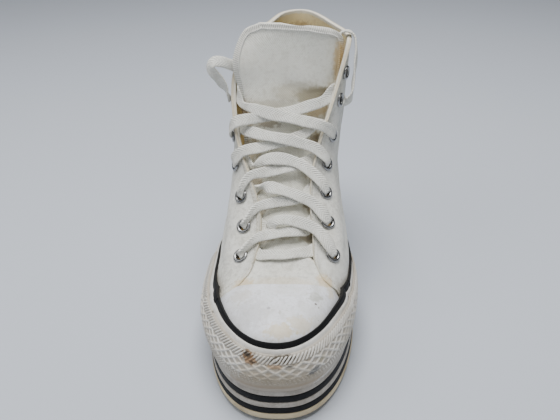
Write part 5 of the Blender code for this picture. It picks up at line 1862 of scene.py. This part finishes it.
def strand(side, index):
    """The lace from one eyelet across the throat and under the far edge, into the next eyelet up."""
    near, first, second, far = STRAND_ROWS[side][index]
    edge, far_edge = quarter_ribs(side, near)[3][0], quarter_ribs(-side, far)[3][0]
    middle = (edge + far_edge) / 2
    near_h, middle_h, far_h = STRAND_HEIGHTS[side]
    room = CROSSING_ROOM[index]
    halfway = instep_way((near + far) / 2)
    over_edge = instep(near, edge + side * ROUND_EDGE, near_h + room)
    across = np.array([-float(side), 0.0, 0.0])
    out_turn, in_turn = TURNED_OUT.get((side, index), 0.0), TURNED_IN.get((side, index), 0.0)
    return [
        *out_of_eyelet(side, index, over_edge),
        (over_edge, turned(instep_way(near), across, out_turn * 0.35), NARROWED if out_turn else FLAT),
        (instep(first, (edge + middle) / 2, middle_h + room / 2), halfway, FLAT),
        (instep(second, (far_edge + middle) / 2, far_h + room / 2), halfway, FLAT),
        (instep(far, far_edge + side * SHORT_OF_EDGE, END_HEIGHT), turned(instep_way(far), across, in_turn),
         (0.6, 1.4) if in_turn else FLAT),
        *into_eyelet(-side, index + 1),
    ]


def make_crossing(index, finishes):
    grids = [lace_strip(strand(side, index), index + 3 * side)[0] for side, _ in SIDES]
    made = build(f"crossed_lace_{index + 1}", grids, [finishes["lace"]])
    put(made, f"lace_crossing_{index + 1}")


def make_bar(finishes):
    hidden = into_eyelet(OUTER, 0)[::-1]
    bar = [(np.array(row[:3]), np.array(row[3:]), FLAT) for row in BAR_ROWS]
    strip, _ = lace_strip([*hidden, *bar, *into_eyelet(INNER, 0)])
    put(build("bar_lace", [strip], [finishes["lace"]]), "lace_bar")


# Stitching

STITCHED_ABOVE = 46.0  # the stitches run down under the rubber
STITCH_WIDE, STITCH_HIGH = 0.55, 0.45
STITCH_INSETS = (1.9, 4.1)  # the two rows along the quarter's edges


def between(at, run, values):
    """Rows of values at places along a run."""
    return np.stack([np.interp(at, run, column) for column in values.T], -1)


def stitch_row(bm, points, ways):
    """Adds a row of stitches along points that lie on cloth."""
    pitch, length = size("stitch_pitch"), size("stitch_length")
    run = run_length(points, 0)
    at = np.arange(pitch / 2, run[-1], pitch)
    centres, outs = between(at, run, points), unit(between(at, run, ways))
    along = unit(between(at + 0.3, run, points) - centres + 1e-9)
    across = np.cross(outs, along)
    for centre, x, y, z in zip(metres(centres), along, across, outs):
        axes = np.array([x * length, y * STITCH_WIDE, z * STITCH_HIGH]) / 2
        turn = Matrix(axes.T.tolist()).to_4x4()
        matrix = Matrix.Translation(centre) @ turn
        bmesh.ops.create_uvsphere(bm, u_segments=6, v_segments=4, radius=MM, matrix=matrix)


def panel_line(side, inset):
    """A line on the quarter's face, a distance in from its front edge and its throat or collar edge."""
    stations, point, way, ahead, _, to_top = quarter_grid(side)
    line, ways = [], []
    for j in range(stations.shape[1]):
        i = int(np.searchsorted(ahead[:, j], inset))
        if to_top[i, j] > inset and point[i, j, 2] > STITCHED_ABOVE:
            line.append(point[i, j])
            ways.append(way[i, j])
    for i in range(stations.shape[0]):
        j = int(np.searchsorted(-to_top[i], -inset))
        if ahead[i, j] > inset:
            line.append(point[i, j])
            ways.append(way[i, j])
    line, ways = np.array(line), np.array(ways)
    return line + ways * (QUARTER_STEP + 0.3), ways


def strip_line(side):
    """The line of stitches up the heel strip's edge."""
    _, point, way, ahead, up, _ = quarter_grid(side)
    columns = np.flatnonzero((point[-1, :, 2] > STITCHED_ABOVE + 4) & (up[-1, -1] - up[-1] > 3.0))
    rows = np.array([np.searchsorted(ahead[:, j], ahead[-1, j] - HEEL_STRIP + 1.6) for j in columns])
    ways = way[rows, columns]
    return point[rows, columns] + ways * (QUARTER_STEP + 0.75), ways


def make_stitching(finishes):
    bm = bmesh.new()
    for side, _ in SIDES:
        stitch_row(bm, *strip_line(side))
        for inset in STITCH_INSETS:
            stitch_row(bm, *panel_line(side, inset))
    put(finish_mesh("edge_stitching", bm, [finishes["thread"]]))


# The stage

WORLD_STRENGTH = 0.22
LIT_PLACE = (0.0, 0.0, 0.06)
# Columns: name, place in metres, size, watts
LIGHTS = (
    ("ceiling_light", (0.0, 0.0, 1.45), 0.8, 28.0),
    ("window_light", (-0.8, -0.2, 0.9), 0.7, 3.0),
    ("front_light", (0.6, -1.2, 1.0), 1.2, 3.5),
)
WIDER = 0.962  # shows a little more than the photograph, whose edges the shoe touches
ASIDE = -0.1  # brings the one shoe nearer to the middle


def make_stage(colours):
    camera = new_object("camera", bpy.data.cameras.new("camera"))
    camera.data.sensor_width = 36.0
    camera.data.lens = WIDER * PHOTO_FOCAL_PX * 36.0 / PHOTO_SIZE[0]
    camera.data.shift_x = ASIDE
    camera.data.clip_start, camera.data.clip_end = 0.01, 20.0
    turn = Euler((math.radians(90 - CAMERA_DOWN), 0, math.radians(-CAMERA_RIGHT)), "XYZ").to_matrix()
    turn = turn @ Matrix.Rotation(math.radians(CAMERA_ROLL), 3, "Z")
    camera.matrix_world = Matrix.Translation(metres(CAMERA_AT)) @ turn.to_4x4()
    bpy.context.scene.camera = camera
    bm = bmesh.new()
    bmesh.ops.create_grid(bm, x_segments=8, y_segments=8, size=4.0)
    floor = finish_mesh("studio_floor", bm, [studio_floor(tuple(colours.floor))])
    floor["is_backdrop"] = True
    world = bpy.data.worlds.new("studio")
    world.use_nodes = True
    background = world.node_tree.nodes["Background"]
    background.inputs["Color"].default_value = (*colours.floor, 1.0)
    background.inputs["Strength"].default_value = WORLD_STRENGTH
    bpy.context.scene.world = world
    for name, at, wide, watts in LIGHTS:
        light = bpy.data.lights.new(name, "AREA")
        light.size, light.energy = wide, watts
        way = Vector(LIT_PLACE) - Vector(at)
        turn = way.to_track_quat("-Z", "Y").to_matrix().to_4x4()
        new_object(name, light).matrix_world = Matrix.Translation(at) @ turn


# What a user can change, and the operators that build the pieces


def colour_of(name, description, default):
    return bpy.props.FloatVectorProperty(name=name, description=description, subtype="COLOR", default=default)


class SneakerColours(bpy.types.PropertyGroup):
    """Colours of the shoe's materials and of the floor."""

    canvas: colour_of("Canvas", "Clean cloth of the upper", (0.925, 0.92, 0.85))
    lace: colour_of("Lace", "Clean cotton lace", (1.0, 0.995, 0.92))
    lining: colour_of("Lining", "Yellowed lining", (1.0, 0.87, 0.50))
    rubber: colour_of("White rubber", "Foxing and midsole", (0.77, 0.755, 0.715))
    cap: colour_of("Toe cap", "Bluish white rubber", (0.88, 0.895, 0.945))
    gum: colour_of("Gum rubber", "Tan rubber of the tread", (0.74, 0.62, 0.40))
    floor: colour_of("Floor", "Pale studio floor", (0.55, 0.585, 0.645))


def length(name, description, default):
    return bpy.props.FloatProperty(
        name=name, description=description, subtype="DISTANCE", unit="LENGTH", default=default, min=1e-5
    )


class SneakerSizes(bpy.types.PropertyGroup):
    """Sizes of the lace and of the finest details."""

    lace_width: length("Lace width", "How wide the flat lace is", 0.0077)
    lace_thick: length("Lace thickness", "How thick the flat lace is", 0.0016)
    stitch_length: length("Stitch length", "How long each stitch is", 0.0019)
    stitch_pitch: length("Stitch pitch", "From one stitch to the next", 0.0025)
    overlock_width: length("Overlock width", "How far the tongue's edge thread reaches in", 0.0046)
    overlock_pitch: length("Overlock pitch", "From one loop of that thread to the next", 0.0014)
    relief_height: length("Relief height", "How far the toe's relief stands out", 0.00095)


def make_finishes(colours):
    """Every material of the shoe, by the name that the pieces use."""
    tint = {key: tuple(getattr(colours, key)) for key in ("lace", "lining", "rubber", "cap", "gum")}
    return {
        "canvas": canvas_finish(colours),
        "lining": plain_cloth("lining", tint["lining"], (0.98, 0.78, 0.42), 1.2, True, LINING_MARKS, 0.8),
        # The tongue's marks are mostly painted shade by the laces, with stains by its inner edge
        "tongue": plain_cloth(
            "tongue_cloth", (0.98, 0.975, 0.88), (0.86, 0.83, 0.71), 1.3, True, TONGUE_SHADE_AND_STAINS
        ),
        "tongue_back": plain_cloth("tongue_back", (0.78, 0.73, 0.62), (0.58, 0.50, 0.38), 1.1),
        "insole": plain_cloth("insole_cloth", (0.60, 0.48, 0.32), (0.32, 0.25, 0.18), 1.0),
        "lace": lace_finish(tint["lace"]),
        "white": white_rubber("white_rubber", tint["rubber"], (0.62, 0.585, 0.51), FOXING_DIRT_AND_SHADE),
        "midsole": white_rubber("midsole_rubber", (0.54, 0.50, 0.44), (0.36, 0.31, 0.25), dirty=0.6),
        "relief": white_rubber("relief_rubber", (0.76, 0.74, 0.69), (0.56, 0.51, 0.42), RELIEF_DIRT_AND_SHADE, True),
        "cap": white_rubber("cap_rubber", tint["cap"], (0.70, 0.69, 0.655), CAP_MARKS, False, 0.42, 0.6),
        "black": black_rubber(),
        "gum": gum_rubber(tint["gum"]),
        "metal": eyelet_metal(),
        "thread": thread("sewing_thread", (0.84, 0.80, 0.68)),
        # The tongue's painted shade and stains lie on its edge thread too
        "overlock": thread("overlock_thread", (0.80, 0.79, 0.73), True, TONGUE_SHADE_AND_STAINS),
    }


STORE = {}


def finishes():
    if "made" not in STORE:
        STORE["made"] = make_finishes(bpy.context.scene.sneaker_colours)
    return STORE["made"]


class SNEAKER_OT_stage(bpy.types.Operator):
    """Add the floor, the soft lights and the camera of the picture"""

    bl_idname = "sneaker.stage"
    bl_label = "Stage"

    def execute(self, context):
        make_stage(context.scene.sneaker_colours)
        return {"FINISHED"}


class SNEAKER_OT_loose_ends(bpy.types.Operator):
    """Add the lace's two free ends, as limp flat cords"""

    bl_idname = "sneaker.loose_ends"
    bl_label = "Loose lace ends"

    def execute(self, context):
        loose_end("loose_lace_outer", "lace_end_outer", OUTER_END, finishes())
        loose_end("loose_lace_inner", "lace_end_inner", INNER_END, finishes())
        return {"FINISHED"}


class SNEAKER_OT_sole(bpy.types.Operator):
    """Add the tread, the midsole, its two stripes and the insole"""

    bl_idname = "sneaker.sole"
    bl_label = "Sole"

    def execute(self, context):
        make_sole(finishes())
        make_insole(finishes())
        return {"FINISHED"}


class SNEAKER_OT_upper(bpy.types.Operator):
    """Add the vamp and the two quarters"""

    bl_idname = "sneaker.upper"
    bl_label = "Upper"

    def execute(self, context):
        make_vamp(finishes())
        for side, name in SIDES:
            make_quarter(side, name, finishes())
        return {"FINISHED"}


class SNEAKER_OT_tongue(bpy.types.Operator):
    """Add the tongue and the thread over its edge"""

    bl_idname = "sneaker.tongue"
    bl_label = "Tongue"

    def execute(self, context):
        make_tongue(finishes())
        return {"FINISHED"}


class SNEAKER_OT_toe_rubber(bpy.types.Operator):
    """Add the toe cap, the foxing, its tape and the relief round the toe"""

    bl_idname = "sneaker.toe_rubber"
    bl_label = "Foxing and toe cap"

    def execute(self, context):
        make_toe_cap(finishes())
        make_foxing(finishes())
        make_toe_relief(finishes())
        make_foxing_tape(finishes())
        return {"FINISHED"}


class SNEAKER_OT_eyelets(bpy.types.Operator):
    """Add the metal eyelets"""

    bl_idname = "sneaker.eyelets"
    bl_label = "Eyelets"

    def execute(self, context):
        for side, name in SIDES:
            for index in range(EYELETS):
                make_eyelet(side, name, index, finishes())
        return {"FINISHED"}


class SNEAKER_OT_laces(bpy.types.Operator):
    """Add the lace's bar and its crossings, through the eyelets"""

    bl_idname = "sneaker.laces"
    bl_label = "Laces"

    def execute(self, context):
        make_bar(finishes())
        for index in range(CROSSINGS):
            make_crossing(index, finishes())
        return {"FINISHED"}


class SNEAKER_OT_stitching(bpy.types.Operator):
    """Add the rows of stitches"""

    bl_idname = "sneaker.stitching"
    bl_label = "Stitching"

    def execute(self, context):
        make_stitching(finishes())
        return {"FINISHED"}


STEPS = (
    SNEAKER_OT_stage,
    SNEAKER_OT_loose_ends,
    SNEAKER_OT_sole,
    SNEAKER_OT_upper,
    SNEAKER_OT_tongue,
    SNEAKER_OT_toe_rubber,
    SNEAKER_OT_eyelets,
    SNEAKER_OT_laces,
    SNEAKER_OT_stitching,
)


class SNEAKER_PT_pieces(bpy.types.Panel):
    """Lists the pieces of the shoe"""

    bl_idname = "SNEAKER_PT_pieces"
    bl_label = "Worn sneaker"
    bl_space_type = "VIEW_3D"
    bl_region_type = "UI"
    bl_category = "Sneaker"

    def draw(self, context):
        for group in (context.scene.sneaker_sizes, context.scene.sneaker_colours):
            for key in type(group).__annotations__:
                self.layout.prop(group, key)
        for step in STEPS:
            self.layout.operator(step.bl_idname)


CLASSES = (SneakerSizes, SneakerColours, *STEPS, SNEAKER_PT_pieces)


def register():
    for each in CLASSES:
        bpy.utils.register_class(each)
    bpy.types.Scene.sneaker_sizes = bpy.props.PointerProperty(type=SneakerSizes)
    bpy.types.Scene.sneaker_colours = bpy.props.PointerProperty(type=SneakerColours)


def unregister():
    del bpy.types.Scene.sneaker_sizes
    del bpy.types.Scene.sneaker_colours
    for each in reversed(CLASSES):
        bpy.utils.unregister_class(each)


def main():
    register()
    for step in STEPS:
        group, name = step.bl_idname.split(".")
        getattr(getattr(bpy.ops, group), name)()
    [[list(map(float, corner)) for corner in box] for box in (CAD_BOX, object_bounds())]


if __name__ == "__main__":
    main()
